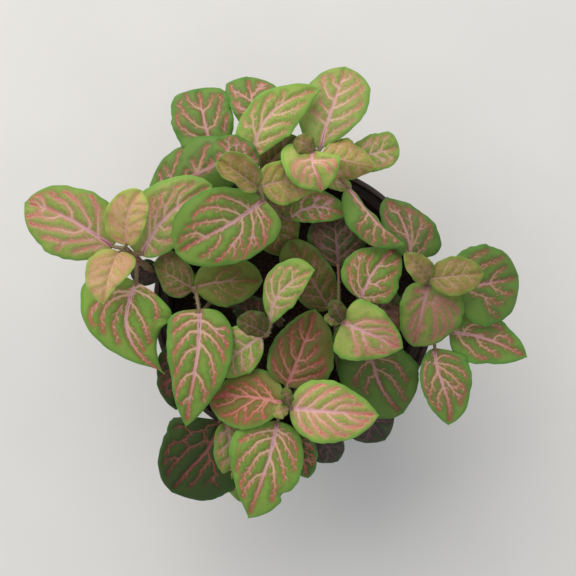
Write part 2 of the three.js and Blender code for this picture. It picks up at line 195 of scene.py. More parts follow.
# %% [markdown]
# ## The leaves as they were read
# Each line is one leaf: base and tip of its midrib, and for the left and the right half of the
# blade the greatest half width in millimetres, the share of the midrib where it is so wide and
# the taper of both ends: 1 is evenly rounded, less is blunter. After that come the leaf's kind
# and what sets it apart: rise and sway bend the midrib upwards and to the left, fold is the angle
# of each half at the midrib, curl is its turn from there to the margin, roll turns the whole
# blade, and at is the stalk's place on the stem.
# A bite is a notch in the margin: side, place along the midrib, depth and width as shares.

# %% The shoots and their leaves
PLAIN_LEAF = dict(rise=(4, 4), sway=(0, 0), fold=(14, 14), curl=(-26, -26), roll=0, at=1, bites=())

SHOOTS = {
    "left": dict(root=(-38, 12), bend=(165, 277, 96), top=(125, 249, 117), leaves=[
        ((113, 247, 116), (25, 203, 105), (17, .5, 1.1), (15, .35, .9), "rosy",
         dict(rise=(6, 6), sway=(-2.5, -4))),
        ((127, 245, 119), (142, 190, 133), (9.5, .4, 1), (8.5, .55, .7), "orange",
         dict(sway=(2.5, 4), fold=(16, 12), curl=(-10, -14))),
        ((119, 252, 119), (104, 305, 128), (9.5, .2, 1.4), (10.5, .4, 1), "orange",
         dict(sway=(-1, -1), fold=(24, 24), bites=((0, .65, .14, .06),))),
        ((142, 256, 113), (213, 185, 122), (14.5, .4, 1), (12.5, .45, 1.1), "cream",
         dict(rise=(4, 2), sway=(6, 4.5), at=.94)),
        ((137, 282, 111), (165, 374, 102), (20, .25, 1.5), (21, .18, 2.1), "mature",
         dict(sway=(-12.5, -12), at=.86)),
        ((161, 272, 101), (130, 273, 100), (6, .45, 1.1), (6, .45, 1.1), "painted_deep_shade", dict(at=.5)),
    ]),
    "west": dict(root=(-25, -2), bend=(212, 290, 98), top=(195, 290, 112), leaves=[
        ((194, 289, 111), (153, 265, 107), (8, .35, 1.8), (10, .65, .8), "shade", {}),
        ((195, 288, 112), (263, 281, 112), (11, .5, 1.1), (11, .45, 1.3), "shade",
         dict(sway=(2.5, 1))),
        ((199, 309, 117), (186, 427, 110), (15, .3, 1.2), (14, .2, 1), "mature",
         dict(rise=(6, 7), sway=(3.5, .5), at=.96)),
        ((190, 335, 99), (176, 410, 95), (9, .45, 1.1), (12, .45, 1.1), "dark",
         dict(rise=(2, 2), at=.6)),
    ]),
    "middle": dict(root=(-6, -8), bend=(270, 318, 99), top=(266, 334, 123), leaves=[
        ((271, 324, 125), (315, 270, 130), (9.5, .65, 1.7), (8, .45, 1.6), "pale",
         dict(sway=(8, 5.5))),
        ((265, 333, 125), (237, 319, 129), (4, .5, .9), (7.5, .4, .9), "shade", {}),
        ((262, 336, 119.5), (215, 373, 105.5), (10, .5, 1.2), (11, .45, 1.1), "pale",
         dict(rise=(3, 1), sway=(-1, -1))),
        ((266, 322, 103), (236, 303, 99), (7, .45, 1.1), (8, .45, 1.1), "dark", dict(at=.62)),
    ]),
    "north": dict(root=(-10, 26), bend=(262, 205, 108), top=(259, 187, 136), leaves=[
        ((264, 199, 135), (176, 253, 129), (16.5, .3, .7), (17.5, .55, 1.05), "mature",
         dict(rise=(5, 5), sway=(3, 1))),
        ((260, 187, 135), (315, 192, 122), (9, .35, 1), (10, .4, 1.3), "olive",
         dict(rise=(1, 2), sway=(3, 5))),
        ((257, 187, 137), (218, 160, 142), (9, .5, 1), (9, .5, 1), "olive",
         dict(fold=(40, 30), curl=(30, 0))),
        ((254, 176, 132), (216, 139, 130), (9, .45, 1.1), (9, .45, 1.1), "mature", dict(at=.93)),
        ((253, 160, 131), (321, 90, 124), (9.5, .3, .8), (12, .45, 1.7), "pale",
         dict(rise=(6, 6), sway=(11, 8.5), at=.93)),
        ((247, 150, 120), (148, 198, 107), (13, .45, 1.1), (15.5, .5, 1.2), "deep",
         dict(fold=(-4, -4), at=.85)),
        ((212, 152, 112), (199, 89, 104), (14, .55, .45), (13, .6, .5), "deep",
         dict(sway=(0, 1), at=.7)),
        ((260, 138, 113), (247, 77, 104), (10.5, .8, .6), (13.5, .5, 1.4), "deep", dict(at=.72)),
        ((266, 202, 115), (285, 256, 104), (11, .45, 1.1), (10.5, .45, 1.1), "shade",
         dict(at=.72)),
        ((290, 219, 114), (346, 215, 113), (7.5, .45, 1.1), (7, .45, 1.1), "mature",
         dict(sway=(6.5, 4), at=.8)),
        ((262, 170, 116), (298, 137, 112), (8, .45, 1.1), (9, .45, 1.1), "shade", dict(at=.85)),
    ]),
    "far": dict(root=(12, 36), bend=(318, 175, 104), top=(316, 153, 127), leaves=[
        ((321, 149, 123), (345, 67, 110), (14.5, .5, 1.1), (14.5, .6, 1.4), "cream",
         dict(sway=(1.5, -1), roll=-8)),
        ((314, 151, 128), (321, 193, 127), (12.5, .4, 2), (13.5, .25, 1.2), "rosy",
         dict(rise=(5, 5), sway=(-4, 1), fold=(25, 25), curl=(-10, -10))),
        ((314, 152, 128), (295, 138, 130), (4.5, .5, 1), (4.5, .5, 1), "olive", {}),
        ((321, 156, 126), (376, 168, 116), (11, .45, 1.1), (11, .45, 1.1), "olive",
         dict(fold=(-14, -30))),
        ((350, 160, 113), (399, 148, 107), (8.5, .65, .5), (8, .5, .8), "pale", dict(at=.8)),
        ((322, 176, 116), (352, 189, 115), (4, .45, 1.1), (4, .45, 1.1), "pale", dict(at=.85)),
        ((348, 186, 120), (404, 245, 125), (3.5, .45, 1.1), (10.5, .45, 1.1), "deep",
         dict(sway=(-2, -3), fold=(-70, -5), curl=(0, -20), at=.8)),
    ]),
    "centre": dict(root=(17, 0), bend=(336, 308, 98), top=(343, 322, 126), leaves=[
        ((342, 322, 127), (403, 348, 123), (12.5, .25, .9), (14, .2, .95), "rosy", {}),
        ((343, 321, 128), (331, 300, 132), (4, .5, 1), (4, .5, 1), "shade", {}),
        ((341, 322, 127), (324, 316, 130), (3, .5, 1), (3, .5, 1), "shade", {}),
        ((361, 299, 119), (398, 247, 114), (13, .35, 1.8), (13, .3, .7), "mature",
         dict(sway=(3, 3.5), at=.93)),
        ((329, 309, 105), (289, 240, 111), (10.5, .5, .8), (10, .45, .9), "shade", dict(at=.72)),
        ((338, 266, 109), (333, 205, 105), (12.5, .45, 1.1), (13, .45, 1.1), "deep", dict(at=.7)),
        ((348, 326, 112), (344, 361, 106), (8, .45, .7), (6, .35, .6), "deep",
         dict(rise=(1, 1), at=.85)),
        ((368, 344, 103), (403, 413, 95), (18.5, .5, .9), (16, .3, .7), "deep",
         dict(sway=(-3, -5.5), at=.6)),
        ((362, 322, 107), (398, 294, 105), (11.5, .45, 1.1), (13.5, .45, 1.1), "deep",
         dict(at=.65)),
        ((345, 385, 98), (385, 440, 90), (13, .45, 1.1), (13, .45, 1.1), "painted_deep_shade", dict(at=.45)),
    ]),
    "right": dict(root=(40, -4), bend=(402, 300, 98), top=(429, 279, 124), leaves=[
        ((429, 279, 125), (484, 273, 129), (8.5, .45, 1.1), (8.5, .45, 1.1), "olive", {}),
        ((429, 279, 125), (404, 253, 130), (6, .4, 1.3), (6, .4, 1.3), "olive",
         dict(fold=(35, 35))),
        ((411, 258, 118), (387, 197, 110), (9, .5, .9), (13.5, .2, 1.1), "deep",
         dict(sway=(-3, -2), at=.93)),
        ((428, 284, 120), (413, 346, 112), (17.5, .35, .8), (10, .35, .8), "rosy", dict(at=.95)),
        ((452, 288, 117), (518, 276, 106), (17, .45, .7), (18, .45, 1.1), "deep",
         dict(sway=(0, -2), at=.9)),
        ((449, 333, 106), (527, 357, 98), (10.5, .35, 1.1), (12, .3, 1.1), "deep",
         dict(sway=(4, 1.5), at=.65)),
        ((435, 348, 107), (448, 425, 98), (14, .3, 1), (9.5, .5, 1.2), "deep",
         dict(sway=(-3.5, 5), at=.6)),
    ]),
    "near": dict(root=(2, -28), bend=(296, 396, 98), top=(290, 406, 122), leaves=[
        ((290, 408, 122), (379, 415, 119), (13.5, .35, 1.3), (13.5, .4, 1.1), "rosy", {}),
        ((285, 403, 118.5), (208, 399, 103), (14.5, .5, 1.2), (12.5, .4, 1.7), "russet",
         dict(rise=(1, 1), sway=(-2, -3), roll=16)),
        ((277, 421, 113), (248, 518, 101), (15, .4, 1.1), (18, .3, 1.5), "mature",
         dict(rise=(5, 6), sway=(2.5, .5), at=.94, bites=((0, .66, .22, .05),))),
        ((287, 386, 116), (315, 309, 109), (13, .35, 1), (15.5, .35, 1.1), "russet",
         dict(rise=(2, 2), sway=(0, -1.5), at=.93)),
        ((288, 408, 124), (272, 413, 127), (3.5, .5, 1), (3.5, .5, 1), "olive", {}),
        ((289, 406, 124), (285, 387, 129), (3, .5, 1), (3, .5, 1), "shade", {}),
        ((296, 430, 106), (308, 478, 97), (7, .45, 1.1), (7, .45, 1.1), "dark", dict(at=.6)),
        ((312, 425, 99), (338, 461, 92), (9, .45, 1.1), (9, .45, 1.1), "painted_deep_shade", dict(at=.5)),
    ]),
    "low": dict(root=(-18, -28), bend=(240, 400, 90), top=(224, 414, 102), leaves=[
        ((226, 422, 101), (243, 503, 94), (9, .45, 1.1), (8, .4, 1), "pale", {}),
        ((220, 420, 100), (172, 492, 90), (19.5, .5, 1), (20.5, .3, .75), "dark",
         dict(sway=(6, -1), at=.95)),
    ]),
}
# How brightly each leaf's colour shows: less in old leaves, and less again as painted shade for leaves
# that lie low under others.
AGE_AND_PAINTED_SHADE = {
    "left": (.66, 1, .78, .85, .92, .8),
    "west": (.55, .66, .78, .34),
    "middle": (.78, .34, .84, .3),
    "north": (.68, .86, .66, .56, .82, .7, .72, .78, .72, .78, .55),
    "far": (.76, .9, .45, .92, .82, .75, .72),
    "centre": (.72, .31, .62, .73, .46, .24, .46, .5, .45, 1),
    "right": (.58, .57, .52, .52, .66, .96, .88),
    "near": (.88, .88, .86, .58, .72, .55, .95, 1),
    "low": (.6, .37),
}
print("shoots:", len(SHOOTS), "leaves:", sum(len(s["leaves"]) for s in SHOOTS.values()))

# %% [markdown]
# ## Veins as they were read
# On the leaves that show best, the larger veins were read too, from where each leaves the midrib or
# another vein to its end. The rest are grown by a rule further down.

# %% The veins that were read
# Veins as read from above, each a run of places across and down the view.
READ_VEINS = {
    "left1": [
        (84, 231, 75, 233, 66, 231, 58, 229, 50, 229, 42, 226, 36, 225, 30, 223),
        (93, 240, 80, 241, 70, 241, 64, 242, 57, 240, 50, 239, 42, 237),
        (100, 246, 88, 248, 80, 250, 74, 252), (60, 218, 54, 218, 46, 218, 40, 216, 32, 216, 27, 217),
        (90, 228, 90, 222, 87, 217, 84, 211, 81, 207, 79, 203, 76, 200, 71, 196, 66, 192),
        (73, 218, 72, 213, 70, 209, 66, 204, 63, 201, 58, 199, 54, 196, 50, 193),
        (99, 236, 98, 222, 98, 214, 97, 207, 94, 201, 91, 194), (64, 243, 60, 247, 56, 251),
        (41, 207, 36, 202, 30, 200), (46, 207, 42, 211, 36, 212), (45, 207, 42, 198, 36, 195)],
    "left4": [
        (160, 226, 163, 229, 170, 228, 177, 225), (152, 237, 157, 240, 165, 241, 173, 240),
        (176, 211, 181, 211, 185, 213), (149, 244, 153, 249, 159, 254),
        (177, 206, 179, 197, 182, 192, 188, 188, 193, 184),
        (163, 218, 165, 208, 170, 200, 173, 193, 177, 187, 182, 184),
        (154, 231, 155, 220, 158, 211, 160, 203, 161, 196), (150, 238, 150, 222, 151, 208, 153, 198),
        (166, 207, 160, 199, 163, 192), (156, 218, 152, 212, 154, 205)],
    "left5": [
        (132, 289, 142, 293, 150, 298, 155, 305, 157, 311, 157, 318),
        (127, 300, 134, 306, 139, 313, 143, 321, 146, 330, 148, 338, 151, 343),
        (126, 322, 131, 330, 135, 335, 139, 342, 144, 350), (131, 286, 143, 285, 152, 286, 161, 288),
        (128, 293, 118, 297, 112, 301, 105, 308, 102, 318, 102, 325, 104, 332),
        (122, 306, 117, 313, 115, 320, 113, 327, 116, 335, 119, 343),
        (128, 290, 112, 293, 98, 303, 92, 309, 90, 316, 92, 324)],
    "west2": [
        (215, 279, 219, 275, 225, 271, 231, 269), (230, 280, 235, 277, 239, 274, 240, 272),
        (229, 283, 234, 287, 239, 289, 243, 290, 243, 294),
        (216, 286, 222, 289, 228, 292, 233, 295, 239, 296), (214, 290, 218, 295, 223, 298, 228, 301)],
    "west3": [
        (197, 320, 190, 321, 183, 325, 177, 330, 173, 333),
        (197, 331, 190, 332, 185, 338, 179, 345, 174, 353),
        (196, 348, 189, 351, 183, 358, 178, 368, 175, 375),
        (193, 373, 187, 375, 181, 382, 178, 389, 176, 396), (200, 315, 188, 314, 180, 316, 174, 320),
        (190, 398, 186, 400, 181, 404), (201, 320, 206, 322, 212, 327, 219, 334, 225, 340, 227, 346),
        (202, 331, 208, 335, 214, 341, 220, 350, 224, 360),
        (201, 342, 206, 350, 210, 357, 213, 367, 214, 378, 213, 384),
        (196, 373, 200, 378, 203, 385, 205, 393, 203, 400), (217, 329, 225, 328, 229, 332)],
    "middle1": [
        (272, 299, 272, 290, 272, 282, 274, 274, 276, 270, 279, 267), (272, 282, 269, 278, 266, 275),
        (277, 293, 279, 287, 280, 280, 283, 275, 286, 270, 289, 267),
        (269, 304, 267, 295, 266, 288, 266, 280, 267, 275),
        (277, 297, 283, 298, 289, 298, 295, 296, 300, 294),
        (286, 287, 292, 287, 298, 286, 302, 284, 306, 281), (272, 305, 277, 307, 284, 307, 289, 304),
        (291, 279, 293, 273, 297, 269), (278, 308, 279, 313)],
    "north1": [
        (248, 206, 240, 203, 231, 199, 222, 196, 214, 198, 208, 201),
        (241, 214, 233, 211, 224, 209, 213, 207, 205, 209, 198, 211, 194, 216),
        (230, 221, 222, 220, 214, 221, 205, 222, 196, 224, 188, 227),
        (205, 236, 198, 233, 190, 234, 183, 238, 180, 242), (257, 206, 261, 212, 266, 217, 270, 223),
        (255, 207, 258, 214, 261, 221, 263, 229, 265, 238, 264, 247),
        (251, 212, 253, 220, 253, 228, 252, 236, 250, 245, 246, 253, 243, 259),
        (253, 237, 257, 243, 259, 250),
        (243, 219, 242, 229, 239, 237, 234, 243, 229, 250, 222, 257, 216, 262),
        (233, 245, 235, 252, 236, 258), (239, 236, 241, 244, 242, 252),
        (220, 235, 219, 242, 214, 248, 207, 254, 201, 257)],
    "north5": [
        (256, 145, 263, 142, 271, 138, 279, 135, 286, 131),
        (262, 130, 268, 128, 275, 125, 281, 123, 290, 124),
        (272, 116, 279, 115, 285, 113, 292, 110, 298, 107, 305, 103), (254, 155, 261, 149),
        (254, 137, 253, 128, 253, 120, 252, 113, 254, 107, 255, 104),
        (252, 126, 247, 126, 244, 122, 243, 117), (260, 126, 262, 115, 264, 108, 267, 100, 272, 96),
        (275, 109, 277, 104, 279, 100), (281, 104, 284, 97, 284, 93)],
    "north6": [
        (198, 173, 200, 165, 202, 158, 205, 150, 208, 145), (198, 174, 194, 167, 192, 160),
        (198, 173, 204, 170, 210, 166, 213, 160), (171, 178, 174, 168, 177, 160, 179, 153, 183, 146),
        (170, 177, 166, 170, 165, 165), (161, 182, 161, 172), (185, 177, 186, 170)],
    "north7": [
        (205, 129, 198, 126, 192, 121, 187, 117, 184, 113, 181, 108, 180, 103),
        (202, 110, 197, 108, 192, 104, 188, 99, 186, 94),
        (210, 140, 192, 135, 185, 130, 180, 126, 177, 121, 177, 116),
        (208, 129, 213, 126, 217, 118, 219, 110, 220, 102, 222, 95),
        (204, 112, 207, 108, 211, 102, 213, 96), (224, 130, 225, 122, 228, 115)],
    "far1": [
        (331, 121, 339, 119, 345, 116, 351, 112, 356, 109, 361, 104),
        (334, 109, 340, 106, 347, 102, 353, 98, 358, 94, 363, 88),
        (339, 96, 345, 92, 350, 88, 356, 84, 359, 81),
        (329, 136, 335, 131, 340, 128, 347, 125, 354, 120), (342, 82, 346, 80, 350, 77, 352, 73),
        (333, 100, 329, 97, 326, 91, 324, 84, 323, 76), (327, 113, 323, 107, 320, 102),
        (338, 88, 334, 84, 332, 76), (326, 125, 318, 117, 313, 111)],
    "far2": [
        (312, 160, 303, 161, 296, 165, 294, 170, 295, 175), (313, 166, 306, 168, 303, 172, 302, 180),
        (315, 173, 310, 175, 309, 183), (313, 162, 322, 163, 327, 166, 330, 171),
        (313, 160, 331, 160, 335, 163, 337, 167)],
    "far7": [
        (368, 214, 364, 220, 360, 226, 358, 231), (376, 224, 374, 230, 374, 238, 372, 244, 370, 249),
        (370, 230, 366, 235, 364, 240, 363, 243), (383, 230, 384, 236, 385, 242)],
    "centre1": [
        (360, 328, 370, 329, 380, 329, 388, 330, 395, 333), (375, 338, 383, 336, 390, 337, 397, 341),
        (381, 343, 388, 344, 395, 347), (353, 326, 359, 323, 368, 321, 380, 322, 388, 323),
        (361, 332, 365, 341, 370, 349, 378, 352, 385, 353), (363, 338, 366, 346, 367, 353),
        (381, 345, 385, 351), (351, 328, 354, 337, 357, 345, 357, 353)],
    "centre4": [
        (361, 291, 359, 285, 358, 278, 358, 272, 359, 265, 360, 260, 362, 252),
        (357, 268, 354, 262, 351, 257), (359, 258, 356, 252),
        (369, 277, 367, 270, 368, 264, 369, 259, 372, 257),
        (358, 299, 353, 288, 351, 281, 350, 275, 349, 269, 347, 268),
        (369, 284, 375, 284, 379, 282, 384, 280, 390, 277, 395, 272),
        (380, 268, 386, 266, 390, 265, 396, 262, 400, 258),
        (365, 299, 374, 297, 380, 295, 387, 293, 391, 289), (373, 298, 377, 302),
        (377, 284, 380, 287, 384, 288)],
    "centre8": [
        (375, 368, 383, 372, 391, 377, 396, 385, 401, 393, 405, 400),
        (370, 357, 387, 360, 394, 362, 399, 368, 403, 375, 407, 380),
        (371, 361, 363, 366, 358, 373, 355, 383), (374, 376, 369, 378, 367, 384, 365, 391)],
    "right3": [
        (406, 236, 398, 231, 393, 226, 389, 222, 386, 216, 385, 213),
        (411, 249, 412, 238, 412, 230, 411, 222, 409, 216, 407, 208), (410, 217, 413, 213),
        (413, 249, 416, 240, 418, 233, 420, 228, 421, 220, 422, 213), (421, 229, 426, 227, 432, 223),
        (417, 254, 424, 246, 427, 240, 430, 232, 431, 226), (397, 213, 391, 211, 388, 203),
        (398, 214, 399, 208)],
    "right4": [
        (433, 303, 435, 315, 436, 325, 435, 333, 432, 339),
        (434, 301, 440, 310, 444, 320, 445, 328, 441, 335),
        (435, 299, 443, 304, 448, 312, 451, 320, 452, 328), (435, 297, 449, 303, 455, 308, 458, 313),
        (431, 302, 423, 307, 417, 313, 413, 319, 410, 328), (430, 298, 421, 299, 415, 302, 410, 307),
        (430, 295, 422, 291, 416, 291), (424, 326, 416, 331, 410, 336)],
    "right5": [
        (490, 280, 494, 275, 499, 271, 505, 268), (490, 285, 495, 289, 500, 291, 506, 294, 511, 293),
        (465, 290, 472, 292, 480, 295, 487, 298, 493, 301, 499, 304),
        (485, 298, 488, 306, 492, 312, 498, 318),
        (466, 280, 470, 263, 473, 258, 478, 254, 483, 252, 487, 250),
        (474, 280, 480, 267, 486, 264, 492, 262, 498, 260, 503, 258)],
    "right6": [
        (463, 333, 468, 327, 474, 325, 482, 324, 490, 324, 497, 326, 502, 330),
        (480, 323, 483, 318, 483, 315, 477, 313, 471, 314, 467, 316),
        (493, 340, 497, 336, 503, 336, 508, 338, 512, 341), (480, 337, 485, 334),
        (475, 340, 481, 345, 487, 349, 493, 352, 499, 356),
        (458, 335, 462, 342, 466, 346, 470, 349, 474, 354, 480, 357, 485, 359)],
    "right7": [
        (430, 362, 426, 365, 424, 372, 424, 380, 425, 388, 427, 395),
        (435, 373, 433, 380, 432, 388, 430, 394, 430, 400, 432, 403),
        (441, 388, 439, 394, 438, 401, 438, 410),
        (434, 366, 440, 367, 446, 371, 452, 376, 458, 382, 463, 386, 466, 392),
        (440, 379, 445, 380, 449, 385, 453, 390, 457, 394, 460, 400, 461, 403),
        (450, 386, 456, 386, 462, 388), (457, 394, 463, 395),
        (433, 363, 445, 364, 452, 366, 458, 369, 464, 373, 467, 377),
        (432, 361, 444, 355, 450, 357, 457, 359)],
    "near1": [
        (305, 408, 312, 404, 318, 399, 325, 394, 332, 390, 338, 387),
        (296, 406, 302, 399, 309, 392, 316, 387, 322, 384),
        (320, 410, 326, 406, 332, 402, 340, 398, 348, 396, 353, 398),
        (334, 411, 340, 406, 347, 405, 354, 405, 362, 405),
        (312, 413, 318, 418, 324, 423, 331, 428, 337, 433, 346, 436),
        (325, 414, 331, 418, 338, 424, 346, 427, 355, 427, 362, 425),
        (305, 412, 311, 420, 317, 429, 326, 436), (297, 412, 300, 421, 305, 428, 311, 433),
        (343, 415, 352, 419, 360, 421, 368, 421)],
    "near2": [
        (256, 398, 250, 403, 246, 405, 240, 409, 236, 412, 230, 414, 222, 416),
        (265, 401, 262, 405, 258, 409, 253, 413, 249, 418, 245, 422), (268, 402, 262, 412, 265, 418),
        (247, 408, 245, 416), (237, 414, 236, 422), (238, 399, 232, 402, 225, 404, 219, 406, 213, 406),
        (274, 401, 268, 392, 262, 385, 256, 379), (262, 398, 256, 392, 249, 387, 243, 383),
        (250, 396, 243, 391, 236, 388, 229, 387), (236, 396, 229, 394, 223, 393)],
    "near3": [
        (271, 437, 262, 440, 256, 444, 251, 450, 244, 456, 238, 464, 237, 470),
        (268, 449, 260, 454, 254, 461, 250, 468, 245, 475, 241, 484),
        (262, 472, 256, 476, 250, 482, 245, 489, 243, 497), (272, 430, 262, 432, 250, 436, 240, 441),
        (280, 430, 286, 435, 292, 441, 297, 449),
        (275, 433, 281, 438, 286, 446, 291, 455, 293, 462, 295, 470),
        (274, 440, 278, 450, 281, 458, 283, 468, 285, 478),
        (270, 458, 273, 466, 274, 475, 275, 487, 272, 500)],
    "near4": [
        (295, 360, 292, 354, 291, 348, 292, 341, 291, 335, 292, 329),
        (289, 374, 286, 366, 283, 359, 281, 352, 280, 346, 281, 338),
        (286, 381, 279, 373, 275, 366, 273, 360), (304, 341, 301, 334, 300, 326, 301, 320),
        (305, 341, 311, 340, 315, 336, 320, 332), (299, 361, 306, 360, 311, 355, 314, 352, 318, 348),
        (295, 374, 303, 370, 310, 366, 317, 363, 323, 360),
        (292, 382, 303, 379, 311, 376, 320, 374, 325, 369)],
    "low2": [
        (216, 423, 208, 426, 205, 430, 198, 431, 192, 432, 188, 436, 184, 440,
         178, 442, 173, 443, 168, 448, 165, 454),
        (211, 441, 203, 442, 197, 445, 190, 447, 187, 450, 183, 455, 179, 459,
         173, 466, 169, 471, 168, 475),
        (184, 441, 187, 445, 190, 447), (179, 459, 172, 458, 166, 460, 164, 463),
        (204, 432, 204, 438, 206, 441), (190, 432, 186, 428, 181, 426, 175, 428), (186, 470, 186, 478),
        (210, 452, 210, 460, 206, 465, 201, 471, 199, 477, 195, 482, 190, 487),
        (212, 460, 215, 470, 215, 476, 211, 480, 205, 484), (214, 478, 216, 485)],
}
print("leaves with veins that were read:", len(READ_VEINS))

# %% [markdown]
# ## One blade
# A leaf blade is a thin sheet that grew from its midrib: a curve from base to tip, and on each
# side a half that leaves the curve at an angle and bends down to its margin. So a blade is one
# function of two parameters, u from base to tip and v from the right margin to the left one.
# The same formula stands in the CAD source, so the fine blade lies on the plain one.

# %% Midrib and half widths
UP = np.array([0.0, 0.0, 1.0])
RIB_POINTS = 40
TIP_HALF_WIDTH = 0.12
MARGIN_INSET = 0.3  # mm that the fine margin lies inside the plain one, which is thicker
TIP_INSET = 0.15  # mm that the fine tip stops short of the plain one, for the same reason
TIP_ROUND = 0.05  # share of the blade over which the tip is rounded
SCALLOP = 0.008  # how deep a scallop is, as a share of the half width
SCALLOP_TURNS = (3, 5, 8)  # scallops along the blade, in three sizes
LEAF_SHIFT, HALF_SHIFT = 0.37, 0.5  # turns that set the scallops of leaves and halves apart


def unit(vectors):
    """Each vector over its own length."""
    return vectors / np.linalg.norm(vectors, axis=-1, keepdims=True)


def walked(path):
    """Distance along a path from its start to each of its points."""
    return np.concatenate([[0], np.cumsum(np.linalg.norm(np.diff(path, axis=0), axis=1))])


def bezier(points, u):
    """Cubic Bézier curve and its slope: the four points weighted (1-u)^3, 3u(1-u)^2, 3u^2(1-u), u^3."""
    a, b, c, d = points
    u = np.asarray(u, float)[..., None]
    w = 1 - u
    place = w**3 * a + 3 * u * w**2 * b + 3 * u**2 * w * c + u**3 * d
    slope = 3 * w**2 * (b - a) + 6 * u * w * (c - b) + 3 * u**2 * (d - c)
    return place, slope


def read_leaf(line, number, name):
    """A leaf's line as a record with its midrib's four control points, in mm, and its length."""
    base, tip, left, right, kind, own = line
    leaf = {**PLAIN_LEAF, **own, "halves": (left, right), "kind": kind, "number": number, "name": name}
    start, end = seen(base), seen(tip)
    end = end - unit(end - start) * TIP_INSET
    leaf["sideways"] = unit(-np.cross(end - start, UP))
    thirds = []
    for k in (1, 2):
        on_chord = start + (end - start) * k / 3
        thirds.append(on_chord + UP * leaf["rise"][k - 1] + leaf["sideways"] * leaf["sway"][k - 1])
    leaf["rib"] = (start, *thirds, end)
    leaf["length"] = walked(bezier(leaf["rib"], np.linspace(0, 1, RIB_POINTS))[0])[-1]
    return leaf


def half_width(leaf, u, half):
    """Half width in mm at the share u of the midrib, less the scallops and bites. The form is
    (u^w (1-u)^(1-w))^taper over its own peak, which lies at the share w, and the very tip is a
    quarter of an ellipse."""
    greatest, w, taper = leaf["halves"][half]
    u = np.clip(u, 0, 1)
    peak = w**w * (1 - w) ** (1 - w)
    width = greatest * (u**w * (1 - u) ** (1 - w) / peak) ** taper
    for turns in SCALLOP_TURNS:
        phase = LEAF_SHIFT * leaf["number"] * turns + HALF_SHIFT * half
        width = width * (1 - SCALLOP * (1 + np.sin(2 * np.pi * (turns * u + phase))))
    for side, place, depth, wide in leaf["bites"]:
        if side == half:
            width = width * (1 - depth * np.exp(-(((u - place) / wide) ** 2)))
    near_tip = np.clip((u - 1 + TIP_ROUND) / TIP_ROUND, 0, 1)
    width = (width - MARGIN_INSET) * np.sqrt(1 - near_tip**2)
    return np.maximum(TIP_HALF_WIDTH, width)


def width_at(leaf, u, v):
    """Half width on the side where v lies: the right half has v below 0."""
    return np.where(v < 0, half_width(leaf, u, 1), half_width(leaf, u, 0))


# %% The blade's surface
WAVE_HEIGHT = 0.7
WAVES = 2.5
WAVE_SHIFT = 0.3
LEAST_CURL = 1e-6  # radians that stand for no curl at all, since the formula divides by it


def blade_surface(leaf, u, v, lifted):
    """Point at u along and v across. The half starts at its fold and turns by its curl along a
    round arc: out = w (sin slope - sin fold) / curl, raised = w (cos fold - cos slope) / curl.
    lifted moves it off the middle of its thickness, and a wave grows towards the margin."""
    place, slope = bezier(leaf["rib"], u)
    along = unit(slope)
    left = unit(leaf["sideways"] - along * (along @ leaf["sideways"])[..., None])
    roll = np.radians(leaf["roll"])
    left = left * np.cos(roll) + np.cross(along, left) * np.sin(roll)
    over = np.cross(along, left)
    half = (v < 0).astype(int)
    fold = np.radians(np.array(leaf["fold"], float))[half]
    curl = np.radians(np.array(leaf["curl"], float))[half]
    curl = np.where(curl == 0, LEAST_CURL, curl)
    reach = np.abs(v)
    width = width_at(leaf, u, v)
    tilt = fold + curl * reach
    out = width * (np.sin(tilt) - np.sin(fold)) / curl
    raised = width * (np.cos(fold) - np.cos(tilt)) / curl
    wave = WAVE_HEIGHT * np.sin(2 * np.pi * (WAVES * u + WAVE_SHIFT * half))
    lift = lifted + wave * reach**2 * np.sin(np.pi * u)
    sideways = np.where(half == 1, -1, 1) * (out - lift * np.sin(tilt))
    return place + left * sideways[..., None] + over * (raised + lift * np.cos(tilt))[..., None]


first_leaf = read_leaf(SHOOTS["left"]["leaves"][0], 0, "left1")
print("first leaf:", round(first_leaf["length"], 1), "mm long")

# %% [markdown]
# ## Veins
# The veins are what the plant is grown for. A midrib runs to the tip, four to six laterals leave
# it on each side, arc forwards and fork, and thin loops join their ends before the margin.
# They are laid out as paths on the flat blade, in millimetres, and every point of the blade then
# gets its distance to the nearest vein, and to the nearest large one. The first field draws the
# veins, and the second gives the flush beside them and the puffed relief.

# %% Vein paths on the flat blade
VEIN_STEP = 0.7
FEWEST_STEPS = 3
VEIN_END = 0.86  # share of the half width where a vein stops
RIB_END = 0.95  # share of the midrib past which no vein goes
BASE_CLEAR = 0.3  # mm from the leaf's base that veins keep clear
WANDER = 7  # degrees that a vein sways to either side of its course
WANDER_TURNS = (0.8, 1.6)
NEAR_MIDRIB = 2.0  # mm from the midrib within which a vein that was read starts on it
READ_GRID = (141, 101)  # points along and across a blade that readings are set against
READ_EACH = 5  # points between two readings of a vein
LEAST_SPAN = 1e-4  # so that two readings at one place divide by something


def smooth_path(points, each):
    """Centripetal Catmull-Rom curve: between two points a cubic whose end slopes come from the
    neighbours, with spans as the square root of the distances."""
    points = np.array(points, float)
    points = np.vstack([2 * points[0] - points[1], points, 2 * points[-1] - points[-2]])
    pieces = []
    t = np.linspace(0, 1, each, endpoint=False)[:, None]
    for a, b, c, d in zip(points[:-3], points[1:-2], points[2:-1], points[3:]):
        pairs = ((a, b), (b, c), (c, d))
        spans = [max(np.sqrt(np.linalg.norm(q - p)), LEAST_SPAN) for p, q in pairs]
        leave = ((b - a) / spans[0] - (c - a) / (spans[0] + spans[1])) * spans[1] + (c - b)
        reach = (c - b) + ((d - c) / spans[2] - (d - b) / (spans[1] + spans[2])) * spans[1]
        cubic = 2 * t**3 - 3 * t**2
        start = b * (1 + cubic) - c * cubic
        pieces.append(start + leave * (t**3 - 2 * t**2 + t) + reach * (t**3 - t**2))
    return np.vstack([*pieces, points[-2:-1]])


